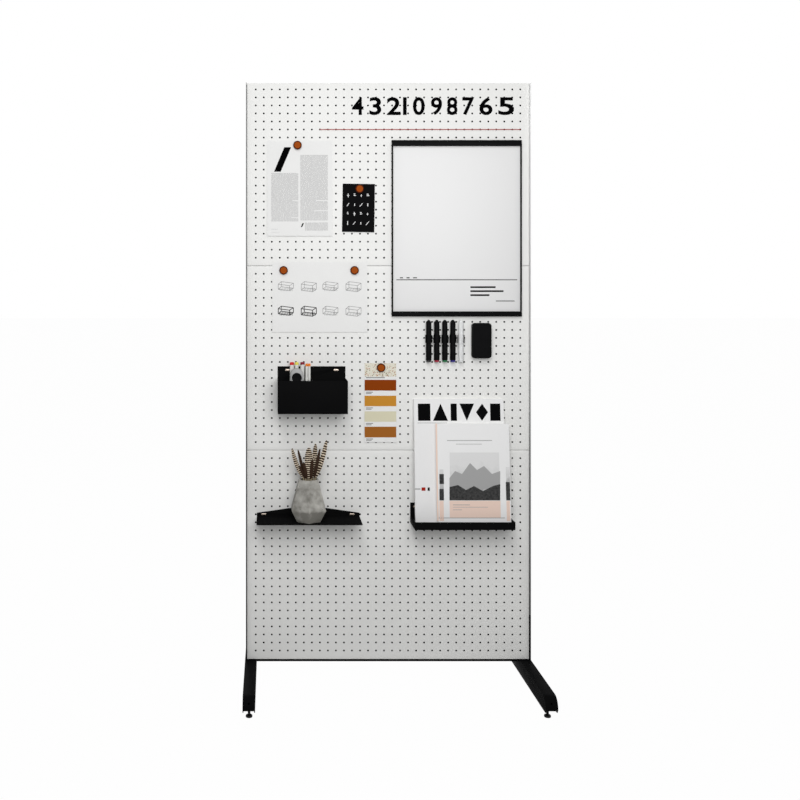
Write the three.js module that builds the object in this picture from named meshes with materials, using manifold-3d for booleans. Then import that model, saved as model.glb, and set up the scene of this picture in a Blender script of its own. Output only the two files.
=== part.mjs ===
// Pegboard display stand in millimetres, +Z up, front towards -Y, origin on the floor at the stand's middle.
// Two uprights on T-feet carry three folded steel trays, and shelves, a pocket and the rest hang on them.
import * as THREE from 'three';
import { mergeVertices } from 'three/addons/utils/BufferGeometryUtils.js';
import Module from 'manifold-3d';

const wasm = await Module();
wasm.setup();

// Driving dimensions: fits
const touch = 0.3;
const overrun = 5;

// Driving dimensions: hole grid and trays
const holePitch = 25.4;
const holeRadius = 2.5;
const trayTopMargin = 20;
const traySideMargin = 27;
const trayWidth = 893.6;
const upperTrayHeight = 578.8;
const middleTrayHeight = 584.2;
const lowerTrayHeight = 662;
const trayDepth = 20;
const traySheet = 1.5;
const seamGap = 1;

// Driving dimensions: uprights, edge strips and rails
const postWidth = 30;
const postDepth = 40;
const postWall = 2;
const postTopPlate = 3;
const stripGap = 1.2;
const stripSheet = 2;
const stripProud = 10.7;
const railDepth = 30;
const railHeight = 40;
const railWall = 1.5;
const railDrop = 3;

// Driving dimensions: feet and levellers
const footReach = 325;
const footWidth = 36;
const footHeight = 43;
const footClearance = 29;
const footWall = 2.5;
const footNoseRadius = 32;
const footNoseLift = 10;
const footNoseSlant = 6;
const footToBoard = 3;
const footHoleRadius = 3;
const footHoleHeight = 26;
const uprightHeight = 145;
const spigotHeight = 100;
const spigotWall = 3;
const spigotRing = 8;
const bottomRailDrop = 12;
const levellerInset = 45;
const levellerPlate = 3;
const levellerPlateLength = 30;
const levellerPlateDrop = 29;
const levellerPadRadius = 10;
const levellerPadEdge = 3;
const levellerPadHeight = 8;
const levellerNeckRadius = 5.5;
const levellerStemRadius = 3;
const levellerStemReach = 20;
const levellerNutRadius = 5;
const levellerNutHeight = 5;

// Driving dimensions: studs that hold the accessories
const studHeadWidth = 18;
const studHeadHeight = 8;
const studHeadDepth = 2.5;
const studShankRadius = 2.2;
const studTailRadius = 3.8;
const studTailDepth = 3;
const studEdge = 16;
const accessorySheet = 1.5;

// Driving dimensions: pocket. Each left is from the board's middle, each drop from its top to a bottom edge,
// and what hangs on studs or pegs goes from there to the nearest holes
const pocketLeft = -350;
const pocketWidth = 215;
const pocketDepth = 98;
const pocketBoxHeight = 102;
const pocketBackHeight = 139;
const pocketDrop = 1036;
const pocketStudInset = 32.5;
const pocketStudRise = 127;

// Driving dimensions: gable shelf
const shelfLeft = -415.5;
const shelfWidth = 325;
const shelfDepth = 100;
const shelfDrop = 1376;
const shelfLip = 4;
const shelfEndRise = 11;
const shelfShoulderRise = 27;
const shelfApexRise = 34;
const shelfShoulderShare = 0.34;
const shelfStudInset = 21.8;
const shelfStudRise = 9.8;

// Driving dimensions: ledge
const ledgeLeft = 70;
const ledgeWidth = 308;
const ledgeDepth = 100;
const ledgeDrop = 1391;
const ledgeLip = 24;
const ledgeBackHeight = 62.5;
const ledgeStudInset = 18.9;
const ledgeStudRise = 50.2;

// Driving dimensions: whiteboard and header wire
const whiteboardLeft = 11;
const whiteboardWidth = 410.5;
const whiteboardDrop = 739;
const whiteboardHeight = 557;
const whiteboardDepth = 10;
const whiteboardTopBar = 17.8;
const whiteboardBottomBar = 16;
const whiteboardSideBar = 4;
const whiteboardRebate = 2.5;
const whiteboardSheet = 3;
const whiteboardPegReach = 14;
const whiteboardPegRadius = 2;
const whiteboardPegInset = 52.5;
const whiteboardPegDrop = 15.8;
const whiteboardPegEdge = 40;
const wireRadius = 1.25;
const wireReach = 12;
const wireLeft = -216;
const wireDrop = 147;

// Driving dimensions: papers, cards and magnets. A tilt is in degrees, clockwise from the front
const paperSheet = 0.4;
const cardSheet = 0.8;
const magnetRadius = 13.5;
const magnetDepth = 8;
const magnetEdge = 1.5;
const papers = {
  text_sheet: { left: -383, drop: 484.5, width: 206, height: 301, sheet: paperSheet },
  black_card: { left: -146, drop: 471, width: 102, height: 152.7, sheet: cardSheet, tilt: 0.9 },
  sketch_sheet: { left: -367, drop: 788.7, width: 301.6, height: 222, sheet: paperSheet },
  sample_card: { left: -75, drop: 1137.2, width: 100.5, height: 251, sheet: cardSheet },
};
const magnets = {
  text_magnet: { over: 'text_sheet', across: 96, up: 287.3 },
  card_magnet: { over: 'black_card', across: 55.5, up: 135.6 },
  sketch_left_magnet: { over: 'sketch_sheet', across: 36, up: 195.5 },
  sketch_right_magnet: { over: 'sketch_sheet', across: 260.5, up: 195.5 },
  sample_magnet: { over: 'sample_card', across: 52.5, up: 236 },
};

// Driving dimensions: markers, their clips and the eraser
const markerRadius = 8.8;
const markerLength = 133;
const markerCapLength = 56;
const markerBodyInset = 0.4;
const markerEndInset = 3;
const markerTipHeight = 6;
const markerTipRadius = 2;
const markerGap = 10.5;
const markerOffset = 116;
const markerNames = ['black_marker', 'red_marker', 'green_marker', 'blue_marker', 'clear_marker'];
const clipWall = 1.6;
const clipHeight = 25.4;
const clipRise = 60;
const clipArm = 4;
const clipGap = 4;
const eraserSideGap = 23.1;
const eraserWidth = 61;
const eraserGap = 20.5;
const eraserHeight = 111;
const eraserDepth = 24;
const eraserCorner = 10;

// Driving dimensions: what stands in the pocket
const penRadius = 6.5;
const penLength = 152;
const penCapLength = 9;
const penEndInset = 2;
const penSetback = 22;
const pens = {
  red_pen: { x: 45, lean: 0, widthShare: 1 },
  yellow_pen: { x: 60, lean: 0, widthShare: 1 },
  dark_red_pen: { x: 75, lean: 0.02, widthShare: 1 },
  orange_pen: { x: 95.5, lean: 0, widthShare: 1.3 },
};
const dispenserWidth = 41;
const dispenserHeight = 136;
const dispenserDepth = 24;
const dispenserOffset = 59;
const dispenserSetback = 60;

// Driving dimensions: vase and feathers
const vaseOffset = 161;
const vaseSetback = 62;
const vaseHeight = 130;
const vaseBaseRadius = 41;
const vaseBellyRadius = 61.4;
const vaseBellyHeight = 37;
const vaseMouthRadius = 34;
const vaseWall = 5;
const vaseFacets = 6;
const stalkRadius = 4;
const stalkHeight = 46;
const stemRadius = 1.6;
const featherWidth = 17;
const featherThickness = 3;
const featherLength = 92;
const featherSpread = 52;
const featherDepth = 14;
const featherTop = 252;
const featherShares = [
  { across: -0.87, forward: 0.3, up: 0.89 },
  { across: -0.62, forward: -1, up: 0.87 },
  { across: 0.02, forward: 0.86, up: 0.89 },
  { across: 0.42, forward: -0.57, up: 0.94 },
  { across: 0.68, forward: 0.71, up: 0.88 },
  { across: 1, forward: -0.43, up: 1 },
];

// Driving dimensions: magazine and book on the ledge
const leanAngle = THREE.MathUtils.degToRad(6);
const magazineOffset = 9;
const magazineWidth = 284;
const magazineHeight = 391;
const magazineThickness = 11;
const bookOffset = 77;
const bookWidth = 227;
const bookHeight = 315;
const bookThickness = 14;
const spineRadius = 3;

// Counts
const roundSides = 16;
const pinSides = 10;
const arcSides = 4;

// Places worked out from the driving dimensions
const footTop = footClearance + footHeight;
const uprightTop = footTop + uprightHeight;
const boardBottom = footTop + footToBoard;
const lowerSeam = boardBottom + lowerTrayHeight;
const upperSeam = lowerSeam + middleTrayHeight;
const boardTop = upperSeam + upperTrayHeight;
const boardSide = trayWidth / 2;
const postOuter = boardSide + stripGap + stripSheet;
const postMiddle = postOuter - postWidth / 2;
const postInner = postOuter - postWidth;
const boardFace = -(postDepth / 2 + touch + trayDepth);

// The hole grid hangs from the board's top edge and is centred across it
const holeColumns = Math.floor((trayWidth - 2 * traySideMargin) / holePitch) + 1;
const rowZ = (row) => boardTop - trayTopMargin - row * holePitch;
const columnX = (column) => (column - (holeColumns - 1) / 2) * holePitch;
const nearestRow = (z) => Math.round((boardTop - trayTopMargin - z) / holePitch);
const nearestColumn = (x) => Math.round(x / holePitch + (holeColumns - 1) / 2);

// What hangs on two fixings in one row moves to the holes nearest to its wished place
function hangAt(left, drop, width, inset, rise, edge) {
  const row = nearestRow(boardTop - drop + rise);
  const first = nearestColumn(left + inset);
  const last = first + Math.floor((width - inset - edge) / holePitch);
  return { row, columns: [first, last], left: columnX(first) - inset, bottom: rowZ(row) - rise };
}
const pocketAt = hangAt(pocketLeft, pocketDrop, pocketWidth, pocketStudInset, pocketStudRise, studEdge);
const shelfAt = hangAt(shelfLeft, shelfDrop, shelfWidth, shelfStudInset, shelfStudRise, studEdge);
const ledgeAt = hangAt(ledgeLeft, ledgeDrop, ledgeWidth, ledgeStudInset, ledgeStudRise, studEdge);
const whiteboardPegRise = whiteboardHeight - whiteboardPegDrop;
const whiteboardAt = hangAt(
  whiteboardLeft, whiteboardDrop, whiteboardWidth, whiteboardPegInset, whiteboardPegRise, whiteboardPegEdge,
);
const whiteboardTop = whiteboardAt.bottom + whiteboardHeight;
const shelfTop = shelfAt.bottom + shelfLip;
const clipOuter = markerRadius + touch + clipWall;
const markerFirst = whiteboardAt.left + markerOffset;
const markerStep = 2 * clipOuter + clipGap;
const markerBottom = whiteboardAt.bottom - markerGap - markerLength;
const eraserLeft = markerFirst + (markerNames.length - 1) * markerStep + clipOuter + eraserSideGap;
const eraserBottom = whiteboardAt.bottom - eraserGap - eraserHeight;
const wireAt = {
  row: nearestRow(boardTop - wireDrop),
  columns: [nearestColumn(wireLeft), holeColumns - 1],
};

// Finishes: colour, roughness and metalness of each material
const finishes = {
  whiteSteel: { color: 0xe6e6e4, roughness: 0.45, metalness: 0.1 },
  blackSteel: { color: 0x0b0b0b, roughness: 0.5, metalness: 0.1 },
  blackPlastic: { color: 0x1e1e1e, roughness: 0.6, metalness: 0 },
  chrome: { color: 0xd8d8d8, roughness: 0.15, metalness: 1 },
  redWire: { color: 0xb04038, roughness: 0.5, metalness: 0.1 },
  whiteEnamel: { color: 0xe7e7e7, roughness: 0.2, metalness: 0 },
  paper: { color: 0xf0f0ee, roughness: 0.8, metalness: 0 },
  blackCard: { color: 0x161616, roughness: 0.7, metalness: 0 },
  sampleCard: { color: 0xe4dccb, roughness: 0.8, metalness: 0 },
  leather: { color: 0xa3531f, roughness: 0.6, metalness: 0 },
  clearPlastic: { color: 0xe0e2e2, roughness: 0.1, metalness: 0 },
  whitePlastic: { color: 0xeeeeea, roughness: 0.4, metalness: 0 },
  greyPlastic: { color: 0x8c8c8c, roughness: 0.5, metalness: 0 },
  concrete: { color: 0x95918a, roughness: 0.9, metalness: 0 },
  feather: { color: 0x6b5140, roughness: 0.9, metalness: 0 },
  cover: { color: 0xdcdcdd, roughness: 0.35, metalness: 0 },
};

// Solids: closed meshes are joined and cut as exact solids
function solidOf(geometry) {
  const bare = geometry.clone();
  bare.deleteAttribute('normal');
  bare.deleteAttribute('uv');
  const merged = mergeVertices(bare);
  const vertProperties = merged.attributes.position.array;
  const triVerts = new Uint32Array(merged.index.array);
  return new wasm.Manifold(new wasm.Mesh({ numProp: 3, vertProperties, triVerts }));
}

function geometryOf(solid) {
  const mesh = solid.getMesh();
  const geometry = new THREE.BufferGeometry();
  geometry.setAttribute('position', new THREE.BufferAttribute(mesh.vertProperties, 3));
  geometry.setIndex(new THREE.BufferAttribute(mesh.triVerts, 1));
  const flat = geometry.toNonIndexed();
  flat.computeVertexNormals();
  return flat;
}

function join(...geometries) {
  return geometryOf(geometries.map(solidOf).reduce((whole, piece) => whole.add(piece)));
}

function cut(geometry, ...tools) {
  return geometryOf(tools.map(solidOf).reduce((whole, tool) => whole.subtract(tool), solidOf(geometry)));
}

// A block between two values on each axis
function block([x0, x1], [y0, y1], [z0, z1]) {
  const geometry = new THREE.BoxGeometry(x1 - x0, y1 - y0, z1 - z0);
  return geometry.translate((x0 + x1) / 2, (y0 + y1) / 2, (z0 + z1) / 2);
}

// An outline pushed along an axis: x, y takes (y, z), (x, z) and z takes (x, y) outlines
const prismBases = {
  x: [new THREE.Vector3(0, 1, 0), new THREE.Vector3(0, 0, 1), new THREE.Vector3(1, 0, 0)],
  y: [new THREE.Vector3(1, 0, 0), new THREE.Vector3(0, 0, 1), new THREE.Vector3(0, -1, 0)],
  z: [new THREE.Vector3(1, 0, 0), new THREE.Vector3(0, 1, 0), new THREE.Vector3(0, 0, 1)],
};

function prism(axis, shape, from, to) {
  const options = { depth: to - from, bevelEnabled: false, curveSegments: arcSides };
  const geometry = new THREE.ExtrudeGeometry(shape, options);
  const [right, up, along] = prismBases[axis];
  geometry.applyMatrix4(new THREE.Matrix4().makeBasis(right, up, along));
  const offsets = { x: [from, 0, 0], y: [0, to, 0], z: [0, 0, from] };
  return geometry.translate(...offsets[axis]);
}

function outline(points) {
  return new THREE.Shape(points.map(([u, v]) => new THREE.Vector2(u, v)));
}

function rectangle(u0, u1, v0, v1) {
  return outline([[u0, v0], [u1, v0], [u1, v1], [u0, v1]]);
}

function roundedRectangle(width, height, radius) {
  const right = width / 2;
  const top = height / 2;
  const quarter = Math.PI / 2;
  const shape = new THREE.Shape();
  shape.absarc(right - radius, top - radius, radius, 0, quarter);
  shape.absarc(radius - right, top - radius, radius, quarter, 2 * quarter);
  shape.absarc(radius - right, radius - top, radius, 2 * quarter, 3 * quarter);
  shape.absarc(right - radius, radius - top, radius, 3 * quarter, 4 * quarter);
  return shape;
}

// A profile of (radius, height) turned about the vertical axis
function turned(profile, sides) {
  const points = profile.map(([radius, height]) => new THREE.Vector2(radius, height));
  return new THREE.LatheGeometry(points, sides).rotateX(Math.PI / 2);
}

// A round bar along Y between two places
function barAlongY(radius, x, z, y0, y1) {
  return new THREE.CylinderGeometry(radius, radius, y1 - y0, pinSides).translate(x, (y0 + y1) / 2, z);
}

function add(parent, name, geometry, finish, x = 0, y = 0, z = 0) {
  const mesh = new THREE.Mesh(geometry, new THREE.MeshStandardMaterial(finishes[finish]));
  mesh.name = name;
  mesh.position.set(x, y, z);
  parent.add(mesh);
  return mesh;
}

const stand = new THREE.Group();

// Uprights: a rectangular tube closed at the top, and a flat strip outside it that runs forward by the trays
const tubeInner = -postWidth / 2;
const tubeOuter = postWidth / 2 - stripSheet - touch;

function tubeSection(side, inset) {
  const y = postDepth / 2 - inset;
  return rectangle(side * (tubeInner + inset), side * (tubeOuter - inset), -y, y);
}

function post(side) {
  const bottom = uprightTop + touch;
  const outside = prism('z', tubeSection(side, 0), bottom, boardTop);
  const bore = prism('z', tubeSection(side, postWall), bottom - overrun, boardTop - postTopPlate);
  return cut(outside, bore);
}

function edgeStrip(side) {
  const outer = side * postWidth / 2;
  const inner = outer - side * stripSheet;
  const shape = rectangle(inner, outer, boardFace - stripProud, postDepth / 2);
  return prism('z', shape, uprightTop + touch, boardTop);
}

// Foot uprights: tube and strip go on down in black as one piece, and a spigot on it carries the post
function footUpright(side) {
  const half = postWidth / 2;
  const outer = side * half;
  const y = postDepth / 2;
  const strip = side * (half - stripSheet);
  const stripFront = boardFace - stripProud;
  const front = [[-outer, -y], [strip, -y], [strip, stripFront]];
  const corners = [...front, [outer, stripFront], [outer, y], [-outer, y]];
  const outside = prism('z', outline(corners), footTop + touch, uprightTop);
  const wall = postWall;
  const ringLow = uprightTop - spigotRing;
  const room = block([wall - half, half - wall], [wall - y, y - wall], [footTop - overrun, ringLow]);
  const high = uprightTop + spigotHeight;
  const spigot = prism('z', tubeSection(side, wall + touch), ringLow, high);
  const bore = prism('z', tubeSection(side, wall + touch + spigotWall), footTop, high + overrun);
  return cut(join(outside, spigot), room, bore);
}

// Feet: an inverted channel with rounded noses, and a plate inside each end for the leveller
function footProfile(inset, bottom) {
  const radius = footNoseRadius - inset;
  const reach = footReach - inset;
  const top = footTop - inset;
  const shape = new THREE.Shape();
  shape.moveTo(-reach, bottom + footNoseLift);
  shape.lineTo(-reach, top - radius);
  shape.absarc(radius - reach, top - radius, radius, Math.PI, Math.PI / 2, true);
  shape.lineTo(reach - radius, top);
  shape.absarc(reach - radius, top - radius, radius, Math.PI / 2, 0, true);
  shape.lineTo(reach, bottom + footNoseLift);
  shape.lineTo(reach - footNoseSlant, bottom);
  shape.lineTo(footNoseSlant - reach, bottom);
  return shape;
}

function foot() {
  const half = footWidth / 2;
  const room = half - footWall;
  const outside = prism('x', footProfile(0, footClearance), -half, half);
  const inside = prism('x', footProfile(footWall, footClearance - footNoseLift - overrun), -room, room);
  const channel = cut(outside, inside);
  const plateTop = footTop - levellerPlateDrop;
  const plateRoom = room + footWall / 2;
  const plates = [-1, 1].map((end) => {
    const y = end * (footReach - levellerInset);
    const length = levellerPlateLength / 2;
    return block([-plateRoom, plateRoom], [y - length, y + length], [plateTop - levellerPlate, plateTop]);
  });
  const stemHoles = [-1, 1].map((end) => {
    const radius = levellerStemRadius + touch;
    const hole = new THREE.CylinderGeometry(radius, radius, levellerPlate + overrun, roundSides);
    return hole.rotateX(Math.PI / 2).translate(0, end * (footReach - levellerInset), plateTop);
  });
  const z = footClearance + footHoleHeight;
  const noseHoles = [-1, 1].map((end) => {
    const inner = footReach - footNoseRadius;
    const middle = end * (footReach + inner) / 2;
    const half = (footReach - inner) / 2 + overrun;
    return barAlongY(footHoleRadius, 0, z, middle - half, middle + half);
  });
  return cut(join(channel, ...plates), ...stemHoles, ...noseHoles);
}

function leveller() {
  const nutTop = footTop - levellerPlateDrop - levellerPlate - touch;
  return turned([
    [0, 0],
    [levellerPadRadius, 0],
    [levellerPadRadius, levellerPadEdge],
    [levellerNeckRadius, levellerPadHeight],
    [levellerStemRadius, levellerPadHeight],
    [levellerStemRadius, nutTop - levellerNutHeight],
    [levellerNutRadius, nutTop - levellerNutHeight],
    [levellerNutRadius, nutTop],
    [levellerStemRadius, nutTop],
    [levellerStemRadius, nutTop + levellerStemReach],
    [0, nutTop + levellerStemReach],
  ], roundSides);
}

// Rails: open-ended rectangular tubes between the uprights, flush with the uprights' front
function rail() {
  const front = -postDepth / 2;
  const back = front + railDepth;
  const shape = rectangle(front, back, 0, railHeight);
  shape.holes.push(rectangle(front + railWall, back - railWall, railWall, railHeight - railWall));
  return prism('x', shape, touch - postInner, postInner - touch);
}

for (const [word, side] of [['left', -1], ['right', 1]]) {
  const x = side * postMiddle;
  add(stand, `${word}_post`, post(side), 'whiteSteel', x);
  add(stand, `${word}_edge_strip`, edgeStrip(side), 'whiteSteel', x);
  add(stand, `${word}_foot_upright`, footUpright(side), 'blackSteel', x);
  add(stand, `${word}_foot`, foot(), 'blackSteel', x);
  add(stand, `${word}_front_leveller`, leveller(), 'blackPlastic', x, levellerInset - footReach);
  add(stand, `${word}_rear_leveller`, leveller(), 'blackPlastic', x, footReach - levellerInset);
}
add(stand, 'top_rail', rail(), 'whiteSteel', 0, 0, boardTop - railDrop - railHeight);
add(stand, 'upper_rail', rail(), 'whiteSteel', 0, 0, upperSeam - railHeight / 2);
add(stand, 'lower_rail', rail(), 'whiteSteel', 0, 0, lowerSeam - railHeight / 2);

function bottomRail() {
  const front = -postDepth / 2;
  const half = postMiddle - footWidth / 2 - touch;
  const shape = rectangle(front, front + railDepth, 0, railHeight);
  const wall = railWall;
  shape.holes.push(rectangle(front + wall, front + railDepth - wall, wall, railHeight - wall));
  return prism('x', shape, -half, half);
}
add(stand, 'bottom_rail', bottomRail(), 'blackSteel', 0, 0, footTop - bottomRailDrop);

// Trays: a face sheet with four returns, open behind, with the holes that carry something
const usedHoles = [wireAt, whiteboardAt, pocketAt, shelfAt, ledgeAt].flatMap(({ row, columns }) => {
  return columns.map((column) => [columnX(column), rowZ(row)]);
});

function tray(bottom, top) {
  const room = boardSide - traySheet;
  const back = -postDepth / 2 - touch;
  const shell = block([-boardSide, boardSide], [boardFace, back], [bottom, top]);
  const hollowY = [boardFace + traySheet, back + overrun];
  const hollow = block([-room, room], hollowY, [bottom + traySheet, top - traySheet]);
  const drills = usedHoles.filter(([, z]) => z > bottom && z < top).map(([x, z]) => {
    return barAlongY(holeRadius, x, z, boardFace - overrun, boardFace + overrun);
  });
  return cut(shell, hollow, ...drills);
}

add(stand, 'upper_panel', tray(upperSeam + seamGap / 2, boardTop), 'whiteSteel');
add(stand, 'middle_panel', tray(lowerSeam + seamGap / 2, upperSeam - seamGap / 2), 'whiteSteel');
add(stand, 'lower_panel', tray(boardBottom, lowerSeam - seamGap / 2), 'whiteSteel');

// All that hangs on the board has its back at y = 0 of this group
const hung = new THREE.Group();
hung.position.y = boardFace - touch;
stand.add(hung);

// Studs: an oval head in front of the plate, a shank through the hole and a tail behind the tray's sheet
function stud() {
  const head = new THREE.Shape();
  const radius = studHeadHeight / 2;
  const centre = studHeadWidth / 2 - radius;
  head.absarc(centre, 0, radius, -Math.PI / 2, Math.PI / 2);
  head.absarc(-centre, 0, radius, Math.PI / 2, 3 * Math.PI / 2);
  const plateFront = -accessorySheet - touch;
  const sheetBack = touch + traySheet + touch;
  const front = plateFront - studHeadDepth;
  return join(
    prism('y', head, front, plateFront),
    barAlongY(studShankRadius, 0, 0, plateFront - studHeadDepth / 2, sheetBack + studTailDepth / 2),
    barAlongY(studTailRadius, 0, 0, sheetBack, sheetBack + studTailDepth),
  );
}

function addStuds(name, { row, columns }) {
  ['left', 'right'].forEach((word, index) => {
    add(hung, `${name}_${word}_stud`, stud(), 'chrome', columnX(columns[index]), 0, rowZ(row));
  });
}

function plateHoles({ row, columns }) {
  return columns.map((column) => {
    return barAlongY(holeRadius, columnX(column), rowZ(row), -accessorySheet - overrun, overrun);
  });
}

// Pocket: a folded box of two compartments on a higher back plate
function pocket({ left, bottom }) {
  const right = left + pocketWidth;
  const middle = left + pocketWidth / 2;
  const boxTop = bottom + pocketBoxHeight;
  const wall = accessorySheet;
  const box = block([left, right], [-pocketDepth, 0], [bottom, boxTop]);
  const back = block([left, right], [-wall, 0], [bottom, bottom + pocketBackHeight]);
  const roomY = [wall - pocketDepth, -wall];
  const roomZ = [bottom + wall, boxTop + overrun];
  const leftRoom = block([left + wall, middle - wall / 2], roomY, roomZ);
  const rightRoom = block([middle + wall / 2, right - wall], roomY, roomZ);
  return cut(join(box, back), leftRoom, rightRoom, ...plateHoles(pocketAt));
}
add(hung, 'pocket', pocket(pocketAt), 'blackSteel');
addStuds('pocket', pocketAt);

// Gable shelf: a plate with a folded front lip under a back plate whose top runs up to a low gable
function gableShelf({ left, bottom }) {
  const right = left + shelfWidth;
  const shoulder = shelfWidth * shelfShoulderShare;
  const wall = accessorySheet;
  const gable = outline([
    [left, bottom],
    [right, bottom],
    [right, shelfTop + shelfEndRise],
    [right - shoulder, shelfTop + shelfShoulderRise],
    [(left + right) / 2, shelfTop + shelfApexRise],
    [left + shoulder, shelfTop + shelfShoulderRise],
    [left, shelfTop + shelfEndRise],
  ]);
  const floor = outline([
    [-wall / 2, shelfTop - wall],
    [-wall / 2, shelfTop],
    [-shelfDepth, shelfTop],
    [-shelfDepth, bottom],
    [wall - shelfDepth, bottom],
    [wall - shelfDepth, shelfTop - wall],
  ]);
  const solid = join(prism('y', gable, -wall, 0), prism('x', floor, left, right));
  return cut(solid, ...plateHoles(shelfAt));
}
add(hung, 'gable_shelf', gableShelf(shelfAt), 'blackSteel');
addStuds('shelf', shelfAt);

// Ledge: a shallow trough with closed ends on a back plate
function ledge({ left, bottom }) {
  const right = left + ledgeWidth;
  const wall = accessorySheet;
  const lipTop = bottom + ledgeLip;
  const back = block([left, right], [-wall, 0], [bottom, bottom + ledgeBackHeight]);
  const trough = block([left, right], [-ledgeDepth, 0], [bottom, lipTop]);
  const roomZ = [bottom + wall, lipTop + overrun];
  const room = block([left + wall, right - wall], [wall - ledgeDepth, -wall], roomZ);
  return cut(join(back, trough), room, ...plateHoles(ledgeAt));
}
add(hung, 'ledge', ledge(ledgeAt), 'blackSteel');
addStuds('ledge', ledgeAt);

// Whiteboard: an enamelled sheet in a black frame that hangs on two pegs
function whiteboardFrame() {
  const { row, columns, left, bottom } = whiteboardAt;
  const right = left + whiteboardWidth;
  const body = block([left, right], [-whiteboardDepth, 0], [bottom, whiteboardTop]);
  const windowX = [left + whiteboardSideBar, right - whiteboardSideBar];
  const windowZ = [bottom + whiteboardBottomBar, whiteboardTop - whiteboardTopBar];
  const opening = block(windowX, [-whiteboardDepth - overrun, overrun], windowZ);
  const rebateX = [windowX[0] - whiteboardRebate, windowX[1] + whiteboardRebate];
  const rebateZ = [windowZ[0] - whiteboardRebate, windowZ[1]];
  const rebate = block(rebateX, [-whiteboardSheet - touch, overrun], rebateZ);
  const pegs = columns.map((column) => {
    const start = -whiteboardDepth / 2;
    return barAlongY(whiteboardPegRadius, columnX(column), rowZ(row), start, whiteboardPegReach);
  });
  return join(cut(body, opening, rebate), ...pegs);
}

function whiteboardPanel() {
  const edge = whiteboardRebate - touch;
  const left = whiteboardAt.left + whiteboardSideBar - edge;
  const right = whiteboardAt.left + whiteboardWidth - whiteboardSideBar + edge;
  const low = whiteboardAt.bottom + whiteboardBottomBar - edge;
  const high = whiteboardTop - whiteboardTopBar - touch;
  return block([left, right], [-whiteboardSheet, 0], [low, high]);
}
add(hung, 'whiteboard_frame', whiteboardFrame(), 'blackPlastic');
add(hung, 'whiteboard_sheet', whiteboardPanel(), 'whiteEnamel');

// Header wire: a straight red wire whose bent ends plug into two holes
function headerWire() {
  const [left, right] = wireAt.columns.map(columnX);
  const run = new THREE.CylinderGeometry(wireRadius, wireRadius, right - left, pinSides);
  run.rotateZ(Math.PI / 2).translate((left + right) / 2, 0, 0);
  const ends = [left, right].map((x) => barAlongY(wireRadius, x, 0, 0, wireReach));
  const bends = [left, right].map((x) => {
    return new THREE.SphereGeometry(wireRadius, pinSides, pinSides / 2).translate(x, 0, 0);
  });
  return join(run, ...ends, ...bends);
}
add(hung, 'header_wire', headerWire(), 'redWire', 0, -wireRadius, rowZ(wireAt.row));

// Papers and cards, each under its magnet
const paperFinishes = {
  text_sheet: 'paper', black_card: 'blackCard', sketch_sheet: 'paper', sample_card: 'sampleCard',
};
for (const [name, { left, drop, width, height, sheet, tilt = 0 }] of Object.entries(papers)) {
  const shape = block([0, width], [-sheet, 0], [0, height]);
  const mesh = add(hung, name, shape, paperFinishes[name], left, 0, boardTop - drop);
  mesh.rotation.y = THREE.MathUtils.degToRad(tilt);
}

function magnet() {
  return turned([
    [0, 0],
    [magnetRadius, 0],
    [magnetRadius, magnetDepth - magnetEdge],
    [magnetRadius - magnetEdge, magnetDepth],
    [0, magnetDepth],
  ], roundSides).rotateX(Math.PI / 2);
}
for (const [name, { over, across, up }] of Object.entries(magnets)) {
  const { left, drop, sheet } = papers[over];
  add(hung, name, magnet(), 'leather', left + across, -sheet - touch, boardTop - drop + up);
}

// Markers stand cap down in open clips
function marker() {
  const body = markerRadius - markerBodyInset;
  const end = markerRadius - markerEndInset;
  return turned([
    [0, 0],
    [end, 0],
    [markerRadius, markerEndInset],
    [markerRadius, markerCapLength],
    [body, markerCapLength + markerBodyInset],
    [body, markerLength - markerTipHeight],
    [markerTipRadius, markerLength],
    [0, markerLength],
  ], roundSides);
}

function markerClip() {
  const inner = markerRadius + touch;
  const outer = clipOuter;
  const shape = new THREE.Shape();
  shape.moveTo(outer, -outer - clipArm);
  shape.lineTo(outer, -outer);
  shape.absarc(0, -outer, outer, 0, Math.PI);
  shape.lineTo(-outer, -outer - clipArm);
  shape.lineTo(-inner, -outer - clipArm);
  shape.lineTo(-inner, -outer);
  shape.absarc(0, -outer, inner, Math.PI, 0, true);
  shape.lineTo(inner, -outer - clipArm);
  return prism('z', shape, 0, clipHeight);
}

markerNames.forEach((name, index) => {
  const x = markerFirst + index * markerStep;
  const finish = name === 'clear_marker' ? 'clearPlastic' : 'blackPlastic';
  add(hung, name, marker(), finish, x, -clipOuter, markerBottom);
  add(hung, `${name}_clip`, markerClip(), 'blackPlastic', x, 0, markerBottom + clipRise);
});

// Eraser: a rounded block held by its own magnet
const eraserShape = roundedRectangle(eraserWidth, eraserHeight, eraserCorner);
const eraserX = eraserLeft + eraserWidth / 2;
const eraserZ = eraserBottom + eraserHeight / 2;
add(hung, 'eraser', prism('y', eraserShape, -eraserDepth, 0), 'blackPlastic', eraserX, 0, eraserZ);

// Pens and a tape dispenser stand on the pocket's floor
function pen(widthShare) {
  const geometry = turned([
    [0, 0],
    [penRadius - penEndInset, 0],
    [penRadius, penEndInset],
    [penRadius, penLength - penCapLength],
    [penRadius - penEndInset, penLength],
    [0, penLength],
  ], pinSides);
  return geometry.scale(widthShare, 1, 1);
}
const pocketFloor = pocketAt.bottom + accessorySheet + touch;
for (const [name, { x, lean, widthShare }] of Object.entries(pens)) {
  const z = pocketFloor + penRadius * widthShare * Math.sin(lean);
  const mesh = add(hung, name, pen(widthShare), 'whitePlastic', pocketAt.left + x, -penSetback, z);
  mesh.rotation.y = lean;
}

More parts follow.
